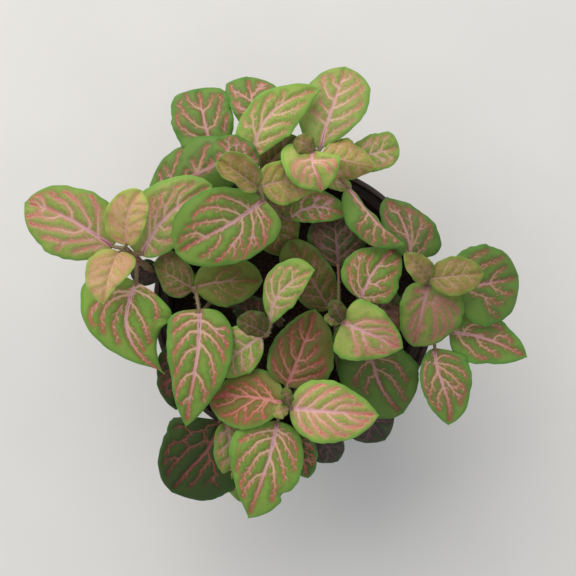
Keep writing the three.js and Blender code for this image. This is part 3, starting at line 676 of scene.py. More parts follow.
def on_blade(leaf, places):
    """Flat places in mm of places in the view: each takes the u and v of the nearest point of the
    blade as the eye sees it, at across = centre + x / scale and down = centre - y / scale."""
    u, v = np.meshgrid(np.linspace(0, 1, READ_GRID[0]), np.linspace(-1, 1, READ_GRID[1]), indexing="ij")
    points = blade_surface(leaf, u, v, 0.0)
    scale = (EYE[2] - points[..., 2]) / VIEW_FOCAL
    across = VIEW_CENTRE + (points[..., 0] - EYE[0]) / scale
    down = VIEW_CENTRE - (points[..., 1] - EYE[1]) / scale
    view = np.stack([across.ravel(), down.ravel()], axis=-1)
    nearest = ((places[:, None, :] - view) ** 2).sum(-1).argmin(axis=1)
    u, v = u.ravel()[nearest], v.ravel()[nearest]
    return np.stack([u * leaf["length"], v * width_at(leaf, u, v)], axis=-1)


def vein_path(leaf, start, side, heading, turn, reach, draw):
    """A path whose heading, in degrees from the midrib, turns evenly over its reach in mm, with a
    little wander: the places are the running sum of equal steps. It is cut short of the margin."""
    steps = max(FEWEST_STEPS, round(reach / VEIN_STEP))
    t = np.linspace(0, 1, steps)
    wander = WANDER * np.sin(2 * np.pi * (draw.uniform(*WANDER_TURNS) * t + draw.uniform()))
    angle = np.radians(heading + turn * t + wander)
    step = reach / steps * np.stack([np.cos(angle), side * np.sin(angle)], axis=1)
    path = np.vstack([start, start + np.cumsum(step, axis=0)])
    edge = width_at(leaf, path[:, 0] / leaf["length"], path[:, 1])
    inside = np.abs(path[:, 1]) < VEIN_END * edge
    inside &= (path[:, 0] < RIB_END * leaf["length"]) & (path[:, 0] > BASE_CLEAR)
    kept = len(path) if inside[1:].all() else 1 + int(np.argmin(inside[1:]))
    return path[:max(kept, 2)]


def read_paths(leaf):
    """The leaf's veins that were read, as smooth paths, laterals first. One whose first place is
    near the midrib is a lateral and starts on it; any other is a fork."""
    laterals, forks = [], []
    for line in READ_VEINS[leaf["name"]]:
        places = on_blade(leaf, np.reshape(line, (-1, 2)))
        is_lateral = abs(places[0, 1]) < NEAR_MIDRIB
        if is_lateral:
            places[0, 1] = 0
        (laterals if is_lateral else forks).append(smooth_path(places, READ_EACH))
    return laterals, forks


# %% Veins by rule
# In each pair the first value holds at the leaf's base, and the second is its change to the tip.
LATERAL_WAY = (66, -14)  # degrees between a lateral's first stretch and the midrib
LATERAL_TURN = (-44, 18)  # degrees that a lateral turns forwards
LATERAL_REACH = (1.9, -0.5)  # length of a lateral over the greatest half width
LATERAL_ROW = (0.03, 0.74)  # shares of the midrib before and along the row of laterals
LATERAL_OFFSET = 0.4  # spacings that the right side's row is ahead of the left side's
LATERAL_SWAY = 4  # degrees
SHORT_LEAF = 30  # mm below which a leaf has four laterals a side, and otherwise five
FORKS = ((0.35, 25), (0.55, -22), (0.75, 24))  # shares of a lateral, and degrees off its course
FORK_SHIFT = 0.06
FORK_REACH = (0.7, 1.1)  # length of a fork over the rest of its lateral
FORKLESS = 0.35  # share of the forks that are missing
FORK_POINTS = 9  # points that a lateral has to have for a fork
FORK_BEND = -0.6  # share of its angle that a fork bends back


def grown_paths(leaf, draw):
    """Laterals and forks that were not read: evenly spaced along the midrib, each arc forwards."""
    length = leaf["length"]
    count = 4 if length < SHORT_LEAF else 5
    laterals, forks = [], []
    for half, side in ((0, 1), (1, -1)):
        widest = leaf["halves"][half][0]
        steps = np.arange(count) + LATERAL_OFFSET * half
        for share in LATERAL_ROW[0] + LATERAL_ROW[1] * steps / count:
            heading = LATERAL_WAY[0] + LATERAL_WAY[1] * share + draw.uniform(-LATERAL_SWAY, LATERAL_SWAY)
            turn = LATERAL_TURN[0] + LATERAL_TURN[1] * share
            reach = (LATERAL_REACH[0] + LATERAL_REACH[1] * share) * widest
            path = vein_path(leaf, (share * length, 0.0), side, heading, turn, reach, draw)
            laterals.append(path)
            for spot, swing in FORKS:
                if len(path) < FORK_POINTS or draw.uniform() < FORKLESS:
                    continue
                spot = spot + draw.uniform(-FORK_SHIFT, FORK_SHIFT)
                root = path[int(spot * (len(path) - 1))]
                run = (1 - spot) * len(path) * VEIN_STEP * draw.uniform(*FORK_REACH)
                way = heading + turn * spot + swing
                forks.append(vein_path(leaf, root, side, way, FORK_BEND * swing, run, draw))
    return laterals, forks


# %% Finer veins
FIRST_BRANCH = 0.6  # gaps from a vein's start to its first branch
BRANCH_SHIFT = 0.3  # gaps that a branch may be off its place
BRANCH_WAY = (40, 60)  # degrees off the course of its vein
BRANCH_BEND = -0.5  # share of that angle that it bends back
BRANCH_FADE = 0.4  # share by which branches are shorter at the vein's end


def side_branches(leaf, paths, gap, reach, draw):
    """Finer veins that leave each path in turn to its left and right, about a gap apart in mm, and
    bend back to run beside it."""
    branches = []
    for path in paths:
        far = walked(path)
        turn = draw.choice([-1, 1])
        for spot in np.arange(FIRST_BRANCH * gap, far[-1], gap):
            spot = spot + draw.uniform(-BRANCH_SHIFT, BRANCH_SHIFT) * gap
            k = int(np.clip(np.searchsorted(far, spot), 1, len(path) - 1))
            run = path[k] - path[k - 1]
            turn = -turn
            swing = turn * draw.uniform(*BRANCH_WAY)
            way = np.degrees(np.arctan2(run[1], run[0])) + swing
            long = draw.uniform(*reach) * (1 - BRANCH_FADE * spot / far[-1])
            branches.append(vein_path(leaf, path[k - 1], 1, way, BRANCH_BEND * swing, long, draw))
    return [path for path in branches if len(path) > 2]


# %% All veins of a leaf
# Half widths in mm at a vein's start and end on a grown leaf, and its tones there. The tone runs
# from 0, where a vein is palest, to 1 at the reddest ends.
VEIN_KINDS = {
    "lateral": ((0.34, 0.21), (0.0, 1.0)), "fork": ((0.23, 0.13), (0.5, 1.0)),
    "branch": ((0.15, 0.05), (0.25, 0.85)), "twig": ((0.09, 0.03), (0.3, 0.8)),
    "loop": ((0.07, 0.07), (0.8, 1.0)), "rib": ((0.68, 0.30), (0.0, 1.0)),
}
GROWN_LENGTH = 36  # mm of a grown leaf
# How thick the veins are against a grown leaf's, for the kinds where they differ.
THIN = {"orange": 0.6, "olive": 0.6, "pale": 0.9, "shade": 0.75}
BRANCH_GAP, BRANCH_REACH = 1.9, (1.4, 4.2)
RIB_GAP, RIB_REACH = 3.0, (1.4, 3.6)  # of the branches that leave the midrib itself
RIB_STRETCH = (0.02, 0.9)  # shares of the midrib that carry such branches
TWIG_GAP, TWIG_REACH = 1.3, (0.7, 1.5)
LOOP_ENDS = (0.95, 0.8)  # shares of two neighbouring laterals between which a loop runs
LOOP_BOW = (0.6, 0.9)  # mm that a loop bows forwards and outwards
LOOP_POINTS = 8
ZIGZAG = 0.16  # mm that the midrib turns aside where a lateral leaves it
RIB_LAST = 0.93  # share of the leaf where the midrib fades out
TINY = 1e-9  # so that a stretch without length divides by something


def lay_veins(leaf, draw):
    """The leaf's veins as a list of paths for each kind, the size that their widths are scaled by,
    and the places where laterals and forks start."""
    length = leaf["length"]
    size = (length / GROWN_LENGTH) ** 0.5 * THIN.get(leaf["kind"], 1.0)
    laterals, forks = read_paths(leaf) if leaf["name"] in READ_VEINS else grown_paths(leaf, draw)
    branches = side_branches(leaf, laterals + forks, BRANCH_GAP, BRANCH_REACH, draw)
    rib_line = np.stack([np.linspace(*RIB_STRETCH, RIB_POINTS) * length, np.zeros(RIB_POINTS)], axis=1)
    branches += side_branches(leaf, [rib_line, rib_line * (1, -1)], RIB_GAP, RIB_REACH, draw)
    twigs = side_branches(leaf, branches, TWIG_GAP, TWIG_REACH, draw)
    loops = []
    t = np.linspace(0, 1, LOOP_POINTS)[:, None]
    in_order = sorted(laterals, key=lambda path: path[0, 0])
    for side in (1, -1):
        row = [path for path in in_order if side * path[-1, 1] > 0]
        for pair in zip(row[:-1], row[1:]):
            start, end = (path[int(part * (len(path) - 1))] for path, part in zip(pair, LOOP_ENDS))
            bow = np.array([LOOP_BOW[0], side * LOOP_BOW[1]]) * 4 * t * (1 - t)
            loops.append(start * (1 - t) + end * t + bow)
    meet = np.array([path[0, 0] for path in in_order])
    aside = ZIGZAG * size * np.where(np.arange(len(meet)) % 2, -1, 1)
    rib = np.vstack([[0, 0], np.stack([meet, aside], axis=1), [RIB_LAST * length, 0]])
    veins = {"lateral": laterals, "fork": forks, "branch": branches, "twig": twigs,
             "loop": loops, "rib": [rib]}
    return veins, size, np.array([path[0] for path in laterals + forks])


def nearest_vein(points, veins, size):
    """For each flat point, over all stretches of the veins, the least (distance - half width), the
    tone there and whether it is the midrib. The nearest place of a stretch is its start plus t
    times its run, t in 0..1."""
    rows = []
    for kind, paths in veins.items():
        halves, tones = VEIN_KINDS[kind]
        first, last = np.array(halves) * size
        for path in paths:
            t = walked(path) / walked(path)[-1]
            half = first + (last - first) * t
            tone = tones[0] + (tones[1] - tones[0]) * t
            is_rib = np.full(len(path) - 1, float(kind == "rib"))
            ends = [half[:-1], half[1:], tone[:-1], tone[1:]]
            rows.append(np.column_stack([path[:-1], path[1:], *ends, is_rib]))
    rows = np.vstack(rows).astype(np.float32)
    points = points.astype(np.float32)
    start, run = rows[:, 0:2], rows[:, 2:4] - rows[:, 0:2]
    from_start = points[:, None, :] - start
    t = np.clip((from_start * run).sum(-1) / ((run * run).sum(-1) + TINY), 0, 1)
    away = from_start - t[..., None] * run
    gap = np.sqrt((away * away).sum(-1)) - (rows[:, 4] + t * (rows[:, 5] - rows[:, 4]))
    best = gap.argmin(axis=1)
    each = np.arange(len(points))
    tone = rows[best, 6] + t[each, best] * (rows[best, 7] - rows[best, 6])
    return [field.astype(float) for field in (gap[each, best], tone, rows[best, 8])]


veins = lay_veins(first_leaf, np.random.default_rng(0))[0]
print("veins of the first leaf:", {kind: len(paths) for kind, paths in veins.items()})

# %% [markdown]
# ## From arrays to a mesh
# Every piece is made of parts: points in millimetres, arrays of faces, and values at the points
# that a material reads. One function joins parts into one mesh and one object.

# %% Put parts into a mesh
# Gaps and margin are distances in mm, knot is 1 where veins meet, upper is 1 on the upper face, and
# shade is how brightly the leaf's colour shows: less for old leaves, and less as painted shade low down.
VALUES = ("vein_gap", "flush_gap", "vein_tone", "on_rib", "knot", "margin", "upper", "shade")


def put_mesh(name, parts, materials):
    """Joins parts into one smooth object: point numbers shift by what came before, and the faces'
    corners go in as one run with the start of each face."""
    shift, corners, sizes, slots = 0, [], [], []
    for part in parts:
        for faces in part["faces"]:
            corners.append((faces + shift).ravel())
            sizes.append(np.full(len(faces), faces.shape[1]))
            slots.append(np.full(len(faces), part.get("material", 0)))
        shift += len(part["points"])
    corners, sizes, slots = (np.concatenate(x).astype(np.int32) for x in (corners, sizes, slots))
    mesh = bpy.data.meshes.new(name)
    mesh.vertices.add(shift)
    mesh.vertices.foreach_set("co", (np.vstack([part["points"] for part in parts]) * MM).ravel())
    mesh.loops.add(len(corners))
    mesh.loops.foreach_set("vertex_index", corners)
    mesh.polygons.add(len(sizes))
    mesh.polygons.foreach_set("loop_start", np.concatenate([[0], np.cumsum(sizes)[:-1]]))
    mesh.polygons.foreach_set("material_index", slots)
    mesh.update(calc_edges=True)
    mesh.shade_smooth()
    for value in VALUES:
        if value in parts[0]:
            layer = mesh.attributes.new(value, "FLOAT", "POINT")
            layer.data.foreach_set("value", np.concatenate([part[value] for part in parts]))
    if "flat" in parts[0]:
        flat = np.vstack([part["flat"] for part in parts])[corners]
        mesh.uv_layers.new(name="flat_blade").data.foreach_set("uv", flat.ravel())
    for material in materials:
        mesh.materials.append(material)
    made = bpy.data.objects.new(name, mesh)
    bpy.context.scene.collection.objects.link(made)
    print(f"{name}: {shift} points, {int((sizes - 2).sum())} triangles")
    return made


def numbered(rows, columns):
    """Numbers of a grid's points, in the order in which they are stored."""
    return np.arange(rows * columns).reshape(rows, columns)


def grid_faces(index, closed=False):
    """Four-sided faces of a grid of point numbers; closed joins the last column to the first."""
    if closed:
        index = np.hstack([index, index[:, :1]])
    corners = index[:-1, :-1], index[1:, :-1], index[1:, 1:], index[:-1, 1:]
    return np.stack([c.ravel() for c in corners], axis=1)


def ringed_body(rings, ends):
    """A body of rings, an array (ring, place on it, xyz), each end closed by a fan to one point."""
    index = numbered(*rings.shape[:2])
    faces = [grid_faces(index, closed=True)[:, ::-1]]
    for ring, pole, way in ((index[0], index.size, -1), (index[-1], index.size + 1, 1)):
        fan = np.stack([ring, np.roll(ring, -1), np.full(len(ring), pole)], axis=1)
        faces.append(fan[:, ::way])
    return {"points": np.vstack([rings.reshape(-1, 3), ends]), "faces": faces}


# %% [markdown]
# ## The finished blade
# The upper face is a fine grid, about 0.4 mm apart, because the veins are under a millimetre
# wide. The lower face is smoother and keeps every fourth point. A narrow skirt closes the margin.
# Between the veins the tissue is puffed by up to half a millimetre, and the midrib is a keel below.

# %% Build one blade
BLADE_STEP = 0.42
STRIDE = 4  # points of the upper face to one of the lower face
ROWS, LINES = (5, 30), (2, 11)  # fewest and most strides along a blade and across one half
PUFF = 0.48
PUFF_REACH = 1.15
RELIEF_EDGE = 8  # the higher this power of v, the nearer to the margin the relief fades out
SKIN = 0.06
UNDER = 0.24
THIN_EDGE = 0.4  # thickness of the lower half at the margin, as a share of UNDER
KEEL = 0.5
KEEL_REACH = 0.9
KNOT_REACH = 1.0
FLAT_SCALE = 0.01  # units of the flat map for a millimetre
LEAF_SEED = 1000
NEXT_LEAF = np.array([7.3, 11.9])  # mm that each leaf's pattern is moved on from the last one's


def skirt(fine, coarse):
    """Faces from a row of points to a row that keeps every fourth of them."""
    k = np.arange(len(coarse) - 1)
    row = [fine[STRIDE * k + i] for i in range(STRIDE + 1)]
    return np.stack([*row, coarse[k + 1], coarse[k]], axis=1)


def strides(reach, limits):
    """Grid steps over a reach in mm, as whole strides within their limits."""
    return STRIDE * int(np.clip(round(reach / BLADE_STEP / STRIDE), *limits))


def build_blade(leaf):
    """Upper face: blade_surface lifted by SKIN + PUFF (1 - exp(-(gap / PUFF_REACH)^2)), fading to
    the margin. Lower face: lifted by -UNDER and by the keel's bell curve across the midrib. The
    rows lie closer at base and tip: half evenly, half as (1 - cos) spaces them."""
    draw = np.random.default_rng(LEAF_SEED + leaf["number"])
    veins, size, starts = lay_veins(leaf, draw)
    t = np.linspace(0, 1, strides(leaf["length"], ROWS) + 1)
    along = (t + (1 - np.cos(np.pi * t)) / 2) / 2
    widest = max(leaf["halves"][0][0], leaf["halves"][1][0])
    u, v = np.meshgrid(along, np.linspace(-1, 1, 2 * strides(widest, LINES) + 1), indexing="ij")
    width = width_at(leaf, u, v)
    flat = np.stack([u * leaf["length"], v * width], axis=-1)
    spots = flat.reshape(-1, 2)
    gap, tone, on_rib = nearest_vein(spots, veins, size)
    large = {kind: veins[kind] for kind in ("lateral", "fork", "rib")}
    large_gap = nearest_vein(spots, large, size)[0].reshape(u.shape)
    knot = np.exp(-(((spots[:, None, :] - starts) ** 2).sum(-1)) / KNOT_REACH**2).max(axis=1)
    margin = np.minimum((1 - np.abs(v)) * width, (1 - u) * leaf["length"])
    fade = 1 - np.abs(v) ** RELIEF_EDGE
    puffed = PUFF * (1 - np.exp(-((np.maximum(large_gap, 0) / PUFF_REACH) ** 2)))
    top = blade_surface(leaf, u, v, SKIN + puffed * fade)
    low = np.s_[::STRIDE, ::STRIDE]
    keel = KEEL * np.exp(-((flat[..., 1][low] / KEEL_REACH) ** 2)) * (1 - u[low])
    under = UNDER * (THIN_EDGE + (1 - THIN_EDGE) * fade[low])
    bottom = blade_surface(leaf, u[low], v[low], -under - keel)
    upper_index = numbered(*u.shape)
    lower_index = u.size + numbered(*u[low].shape)
    faces = [grid_faces(upper_index), grid_faces(lower_index)[:, ::-1],
             skirt(upper_index[:, 0], lower_index[:, 0])[:, ::-1],
             skirt(upper_index[:, -1], lower_index[:, -1]),
             skirt(upper_index[0], lower_index[0]),
             skirt(upper_index[-1], lower_index[-1])[:, ::-1]]
    shifted = flat + NEXT_LEAF * leaf["number"]
    fields = {"vein_gap": gap, "flush_gap": large_gap, "vein_tone": tone, "on_rib": on_rib,
              "knot": knot, "margin": margin, "shade": np.full(u.shape, leaf["shade"])}
    part = {"faces": faces, "material": KINDS.index(leaf["kind"])}
    part["points"] = np.vstack([top.reshape(-1, 3), bottom.reshape(-1, 3)])
    part["flat"] = np.vstack([shifted.reshape(-1, 2), shifted[low].reshape(-1, 2)]) * FLAT_SCALE
    part["upper"] = np.concatenate([np.ones(u.size), np.zeros(u[low].size)])
    for name, field in fields.items():
        field = np.reshape(field, u.shape)
        part[name] = np.concatenate([field.ravel(), field[low].ravel()])
    return part


# %% [markdown]
# ## Living leaf
# A nerve plant's leaf is matt to softly glossy, like thin leather. Young leaves are orange and
# olive with a cream net, grown ones green with pink veins that end in coral red, and old ones in
# the shade dark green or brown with dusty rose. Leaves deep under others get a near-black kind,
# which is painted shade. One function makes the finish in layers, and a line of colours makes
# each kind.

# %% Leaf kinds
# The puffed colour of each kind is a painted highlight on the skin puffed between the veins.
PARTS_OF_COLOUR = ("lamina", "puffed", "flush", "margin", "net", "core", "rib", "cream", "vein", "end")
PALETTES = {
    "mature": "#6c9438 #82a946 #9a7a4a #6a9a3e #b09464 #a4567a #deaeae #dab896 #da918a #ca5c56",
    "rosy": "#8aa446 #a0b652 #cc987a #7cac48 #dcb092 #b0587a #e4b0b2 #e2b89e #df9088 #d4625c",
    "cream": "#8aa04c #9cb456 #be9870 #7caa4a #d0b68e #ac6a84 #dcb2ae #dabc9c #d69e88 #c27064",
    "orange": "#b4ae5e #bcba66 #cc9c72 #9cb254 #dcbc90 #c8808a #dcaa98 #dcbc98 #d8a488 #cc8a6c",
    "olive": "#9c9c4c #a8aa54 #b08e54 #8ea84a #ccb878 #b07c80 #d2a890 #ceb882 #c89c72 #b87c54",
    "pale": "#84a246 #98b450 #b49a60 #82ae4c #ccbc82 #b07888 #dcb2a4 #dcc098 #daaa8c #c87e64",
    "deep": "#62883a #749c42 #94704a #5e943c #94845a #a0587a #d6a4a2 #ccaa86 #ce8c80 #b45c50",
    "shade": "#707a30 #7e8c38 #84683c #6c8c3c #908440 #8c5c62 #b48c7a #a89058 #a87c54 #905c3a",
    "dark": "#456429 #50702e #6a4e30 #4e8034 #745c3c #94505c #bc7470 #a87658 #b06054 #984840",
    "russet": "#6e6e30 #7c7c38 #925a3a #64903a #9c7048 #a0566a #cc867e #c48c72 #c46e66 #b84e50",
    # Near-black colours for leaves deep under others: painted shade, not the leaves' own colour.
    "painted_deep_shade": "#34382a #40482e #3c2e2a #3a4a2c #463632 #5a3a40 #62444a #5c4044 #5c4044 #503a3a",
}
UNDERSIDE = "#98a878"
KINDS = list(PALETTES)
# For each kind: how strongly the net shows, how strongly the flush shows, and its reach in mm.
SPREAD = {
    "mature": (0.18, 0.85, 2.0), "rosy": (0.24, 0.90, 1.9), "cream": (0.24, 0.72, 1.7),
    "orange": (0.30, 0.80, 2.6), "olive": (0.30, 0.60, 1.9), "pale": (0.24, 0.66, 1.5),
    "deep": (0.18, 0.88, 2.2), "shade": (0.20, 0.55, 1.6), "dark": (0.15, 0.70, 1.5),
    "russet": (0.22, 0.80, 1.7), "painted_deep_shade": (0.12, 0.40, 1.0),
}
# How the fields at the points become shares: the field, where the share starts and where it is
# full, in mm or as a tone, and how much it is then.
SHARES = {
    "between": ("vein_gap", 0.2, 2.2, 1.0), "inner": ("margin", 1.2, 3.2, 1.0),
    "edge": ("margin", 2.2, 0.7, 0.85), "middle": ("vein_gap", -0.3, -0.6, 1.0),
    "early": ("vein_tone", 0.45, 0.1, 1.0),
}

# %% Sizes of the leaf's patterns
FLAT_UNIT = 1 / FLAT_SCALE  # mm for a unit of the flat map
PATCH_SIZE = 9.0  # mm across an uneven patch of colour
# The puffed skin's colour below is a painted highlight.
PATCH_STRENGTH = 1.7  # how much of the puffed skin's colour the patches let through
PATCH_RANGE = (0.35, 0.6)  # values of the patches between which the flush grows
LEAST_FLUSH = 0.55  # share of the flush that is left in the palest patch
NET_CELL = 2.2  # mm across a cell of the net
NET_LINE = (0.13, 0.02)  # shares of a cell from its border where a line starts and is full
NET_BEND = 1.6  # mm that its lines bend
RAGGED_SIZE = 1.1  # mm between the notches of a vein's outline
RAGGED_DEPTH = 0.12  # mm that the outline moves in or out
RAGGED_RANGE = (0.25, 0.75)  # values of its noise that give the greatest depth each way
VEIN_FADE = (0.24, -0.12)  # mm from a vein's outline over which its colour comes in
# Real skin cells are far finer than a camera sees, so the pebbles are drawn as coarse as they
# have to be to show.
PEBBLE_SIZE = 0.45
PEBBLE_HEIGHT = 0.12 * MM
GLOSS = (0.42, 0.58)  # roughness of the softly glossy and of the matt patches
GLOSS_RANGE = (0.3, 0.7)  # values of the patches that give them
UNDERSIDE_SHARE = 0.55  # how much of the underside's colour shows below


def living_leaf(kind):
    """Leaf tissue in layers, each a colour laid over the last one by its share. From below up:
    lamina, puffed skin lightened as a painted highlight, flush along the veins, fine net, margin,
    veins, and a pale underside. Then the whole is dimmed by the leaf's shade value."""
    part = dict(zip(PARTS_OF_COLOUR, PALETTES[kind].split()))
    net_share, flush_share, flush_reach = SPREAD[kind]
    material = new_material(f"living_leaf_{kind}")
    smooth = {"interpolation_type": "SMOOTHSTEP"}
    where = add(material, "TexCoord", out="Object")
    flat = add(material, "UVMap", uv_map="flat_blade")
    patch = add(material, "TexNoise", {"Vector": where, "Scale": scale_for(PATCH_SIZE), "Detail": 4.0})
    read = {name: add(material, "Attribute", out="Fac", attribute_name=name) for name in VALUES}
    share = {}
    shares = {**SHARES, "flush": ("flush_gap", flush_reach, 0.0, flush_share)}
    for name, (field, start, full, most) in shares.items():
        limits = {0: read[field], 1: start, 2: full, 4: most}
        share[name] = add(material, "MapRange", limits, **smooth)

    # The puffed skin between the veins is lightened in patches as a painted highlight, and the flush is
    # uneven.
    highlight_share = add(material, "Math", {0: share["between"], 1: patch}, operation="MULTIPLY")
    puffed = add(material, "Math", {0: highlight_share, 1: PATCH_STRENGTH}, operation="MULTIPLY", use_clamp=True)
    low, high = PATCH_RANGE
    uneven = add(material, "MapRange", {0: patch, 1: low, 2: high, 3: LEAST_FLUSH}, **smooth)
    flush = add(material, "Math", {0: share["flush"], 1: uneven}, operation="MULTIPLY")

    # The finest veins are the borders of cells, bent by a noise so that none runs straight.
    scale = scale_for(NET_CELL, FLAT_UNIT)
    swirl = add(material, "TexNoise", {"Vector": flat, "Scale": scale}, out="Color")
    bend = (NET_BEND * FLAT_SCALE,) * 3
    bent = add(material, "VectorMath", {0: swirl, 1: bend, 2: flat}, operation="MULTIPLY_ADD")
    cells = add(material, "TexVoronoi", {"Vector": bent, "Scale": scale, "Randomness": 1.0},
                out="Distance", feature="DISTANCE_TO_EDGE")
    line = add(material, "MapRange", {0: cells, 1: NET_LINE[0], 2: NET_LINE[1], 4: net_share}, **smooth)
    net = add(material, "Math", {0: line, 1: share["inner"]}, operation="MULTIPLY")

    # A vein goes from cream through pink to coral red, and the midrib has a darker groove.
    side_stops = [(0.0, part["cream"]), (0.3, part["cream"]), (0.62, part["vein"]), (1.0, part["end"])]
    rib_stops = [(0.0, part["core"]), (0.1, part["rib"]), (0.5, part["rib"]), (0.75, part["vein"]),
                 (1.0, part["end"])]
    vein = add(material, "ValToRGB", {0: read["vein_tone"]}, stops=side_stops)
    rib = add(material, "ValToRGB", {0: read["vein_tone"]}, stops=rib_stops)
    groove = add(material, "Math", {0: share["middle"], 1: share["early"]}, operation="MULTIPLY")
    core = colour(part["core"])
    rib = add(material, "Mix", {FACTOR: groove, BELOW: rib, ABOVE: core}, out=MIXED, **RGBA)
    for over, amount in ((rib, read["on_rib"]), (colour(part["rib"]), read["knot"])):
        vein = add(material, "Mix", {FACTOR: amount, BELOW: vein, ABOVE: over}, out=MIXED, **RGBA)
    scale = scale_for(RAGGED_SIZE, FLAT_UNIT)
    notches = add(material, "TexNoise", {"Vector": flat, "Scale": scale, "Detail": 2.0})
    low, high = RAGGED_RANGE
    notches = add(material, "MapRange",
                  {0: notches, 1: low, 2: high, 3: -RAGGED_DEPTH, 4: RAGGED_DEPTH})
    ragged = add(material, "Math", {0: read["vein_gap"], 1: notches}, operation="ADD")
    drawn = add(material, "MapRange", {0: ragged, 1: VEIN_FADE[0], 2: VEIN_FADE[1]}, **smooth)

    below = add(material, "Math", {0: 1.0, 1: read["upper"]}, operation="SUBTRACT")
    below = add(material, "Math", {0: below, 1: UNDERSIDE_SHARE}, operation="MULTIPLY")
    skin = colour(part["lamina"])
    layers = ((colour(part["puffed"]), puffed), (colour(part["flush"]), flush),
              (colour(part["net"]), net), (colour(part["margin"]), share["edge"]),
              (vein, drawn), (colour(UNDERSIDE), below))
    for over, amount in layers:
        skin = add(material, "Mix", {FACTOR: amount, BELOW: skin, ABOVE: over}, out=MIXED, **RGBA)
    # The colour is dimmed by the leaf's shade value: partly for its age, partly as painted shade where it
    # lies low under others.
    skin = add(material, "VectorMath", {0: skin, "Scale": read["shade"]}, operation="SCALE")
    scale = scale_for(PEBBLE_SIZE, FLAT_UNIT)
    pebbles = add(material, "TexVoronoi", {"Vector": flat, "Scale": scale}, out="Distance")
    grain = add(material, "Bump", {"Height": pebbles, "Strength": 0.35, "Distance": PEBBLE_HEIGHT})
    low, high = GLOSS_RANGE
    gloss = add(material, "MapRange", {0: patch, 1: low, 2: high, 3: GLOSS[0], 4: GLOSS[1]})
    shader = add(material, "BsdfPrincipled", {
        "Base Color": skin, "Roughness": gloss, "Normal": grain, "IOR": 1.42,
        "Specular IOR Level": 0.25, "Sheen Weight": 0.03, "Sheen Roughness": 0.4})
    add(material, "OutputMaterial", {"Surface": shader})
    return material


leaf_finishes = [living_leaf(kind) for kind in KINDS]
print("leaf finishes:", ", ".join(KINDS))

# %% Grow the blades of every shoot
number = 0
for name, shoot in SHOOTS.items():
    shoot["records"] = []
    for place, line in enumerate(shoot["leaves"]):
        leaf = read_leaf(line, number, f"{name}{place + 1}")
        leaf["shade"] = AGE_AND_PAINTED_SHADE[name][place]
        shoot["records"].append(leaf)
        number += 1
    blades = put_mesh(f"blades_{name}", [build_blade(leaf) for leaf in shoot["records"]], leaf_finishes)
    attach(blades, "root")
    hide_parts(f"shoot_{name}")

# %% [markdown]
# ## Stems and stalks
# Each shoot is a round, downy stem that stands in the peat and leans out to its leaves. A stalk
# leaves it upwards and runs into each midrib. They are round profiles carried along the same
# paths as in the CAD source, with a swelling where leaves join and fine pale hairs.

# %% Round profiles along a path
ROUND_END = 0.3  # how far an end's point stands out, as a share of the radius
LOOK = 0.01  # share of a path to either side that gives its direction


def at_share(path, share):
    """Point and direction at a share of a path's length."""
    far = walked(path) / walked(path)[-1]
    shares = [share - LOOK, share, share + LOOK]
    before, place, after = np.stack([np.interp(shares, far, path[:, axis]) for axis in range(3)], axis=1)
    return place, unit(after - before)


def carry_round(path, radii, across, sides):
    """A round profile carried along a path: centre + radius (cos a * n + sin a * b), where b is
    square to the path and to across, and the ends are closed by a point."""
    along = unit(np.gradient(path, axis=0))
    n = unit(across - along * (along @ across)[:, None])
    b = np.cross(along, n)
    angle = np.linspace(0, 2 * np.pi, sides, endpoint=False)
    ring = np.cos(angle)[None, :, None] * n[:, None, :] + np.sin(angle)[None, :, None] * b[:, None, :]
    rings = path[:, None, :] + np.asarray(radii)[:, None, None] * ring
    ends = [path[0] - along[0] * radii[0] * ROUND_END, path[-1] + along[-1] * radii[-1] * ROUND_END]
    return ringed_body(rings, ends)


# %% Hairs
HAIR_FOOT = 0.055
HAIR_LENGTH = (0.7, 1.5)
HAIR_SPAN = (0.02, 0.99)  # shares of the path that carry hairs
HAIR_SUNK = 0.96  # a foot's distance from the middle, as a share of the radius
HAIR_LEAN = 0.35  # up the stem
HAIR_SPREAD = 0.2  # to the side
HAIR_CORNERS = (0, 2.1, 4.2)  # radians of a foot's three points
HAIR_FACES = ([1, 0, 3], [2, 1, 3], [0, 2, 3], [0, 1, 2])


def downy(path, radii, count, draw):
    """Hairs as three-sided spikes: a foot of three points round a place on the stem, and an apex
    along the outward direction, bent a little up the stem."""
    pick = draw.uniform(*HAIR_SPAN, count) * (len(path) - 1)
    low = np.floor(pick).astype(int)
    part = (pick - low)[:, None]
    centre = path[low] * (1 - part) + path[low + 1] * part
    along = unit(path[low + 1] - path[low])
    radius = np.asarray(radii)[low][:, None]
    out = draw.normal(size=(count, 3))
    out = unit(out - along * (out * along).sum(-1, keepdims=True))
    side = np.cross(along, out)
    foot = centre + out * radius * HAIR_SUNK
    way = out + HAIR_LEAN * along + HAIR_SPREAD * side * draw.normal(size=(count, 1))
    tip = foot + way * draw.uniform(*HAIR_LENGTH, (count, 1))
    feet = [foot + HAIR_FOOT * (np.cos(a) * along + np.sin(a) * side) for a in HAIR_CORNERS]
    points = np.stack([*feet, tip], axis=1).reshape(-1, 3)
    first = 4 * np.arange(count)[:, None]
    faces = np.vstack([first + corners for corners in HAIR_FACES])
    return {"points": points, "faces": [faces], "material": 1}


# %% [markdown]
# ## Stem skin and hairs
# The stem is soft green tissue, flushed brown and pink in patches. Its hairs are clear and show
# as a pale down.

# %% Stem materials
BLUSH_SIZE = 11.0  # mm across a blushed patch
FIBRE_SIZE = 0.7  # mm between the skin's fine ridges
FIBRE_HEIGHT = 0.1 * MM
CLOUD_SIZE = 3.3  # mm between clear and cloudy hairs

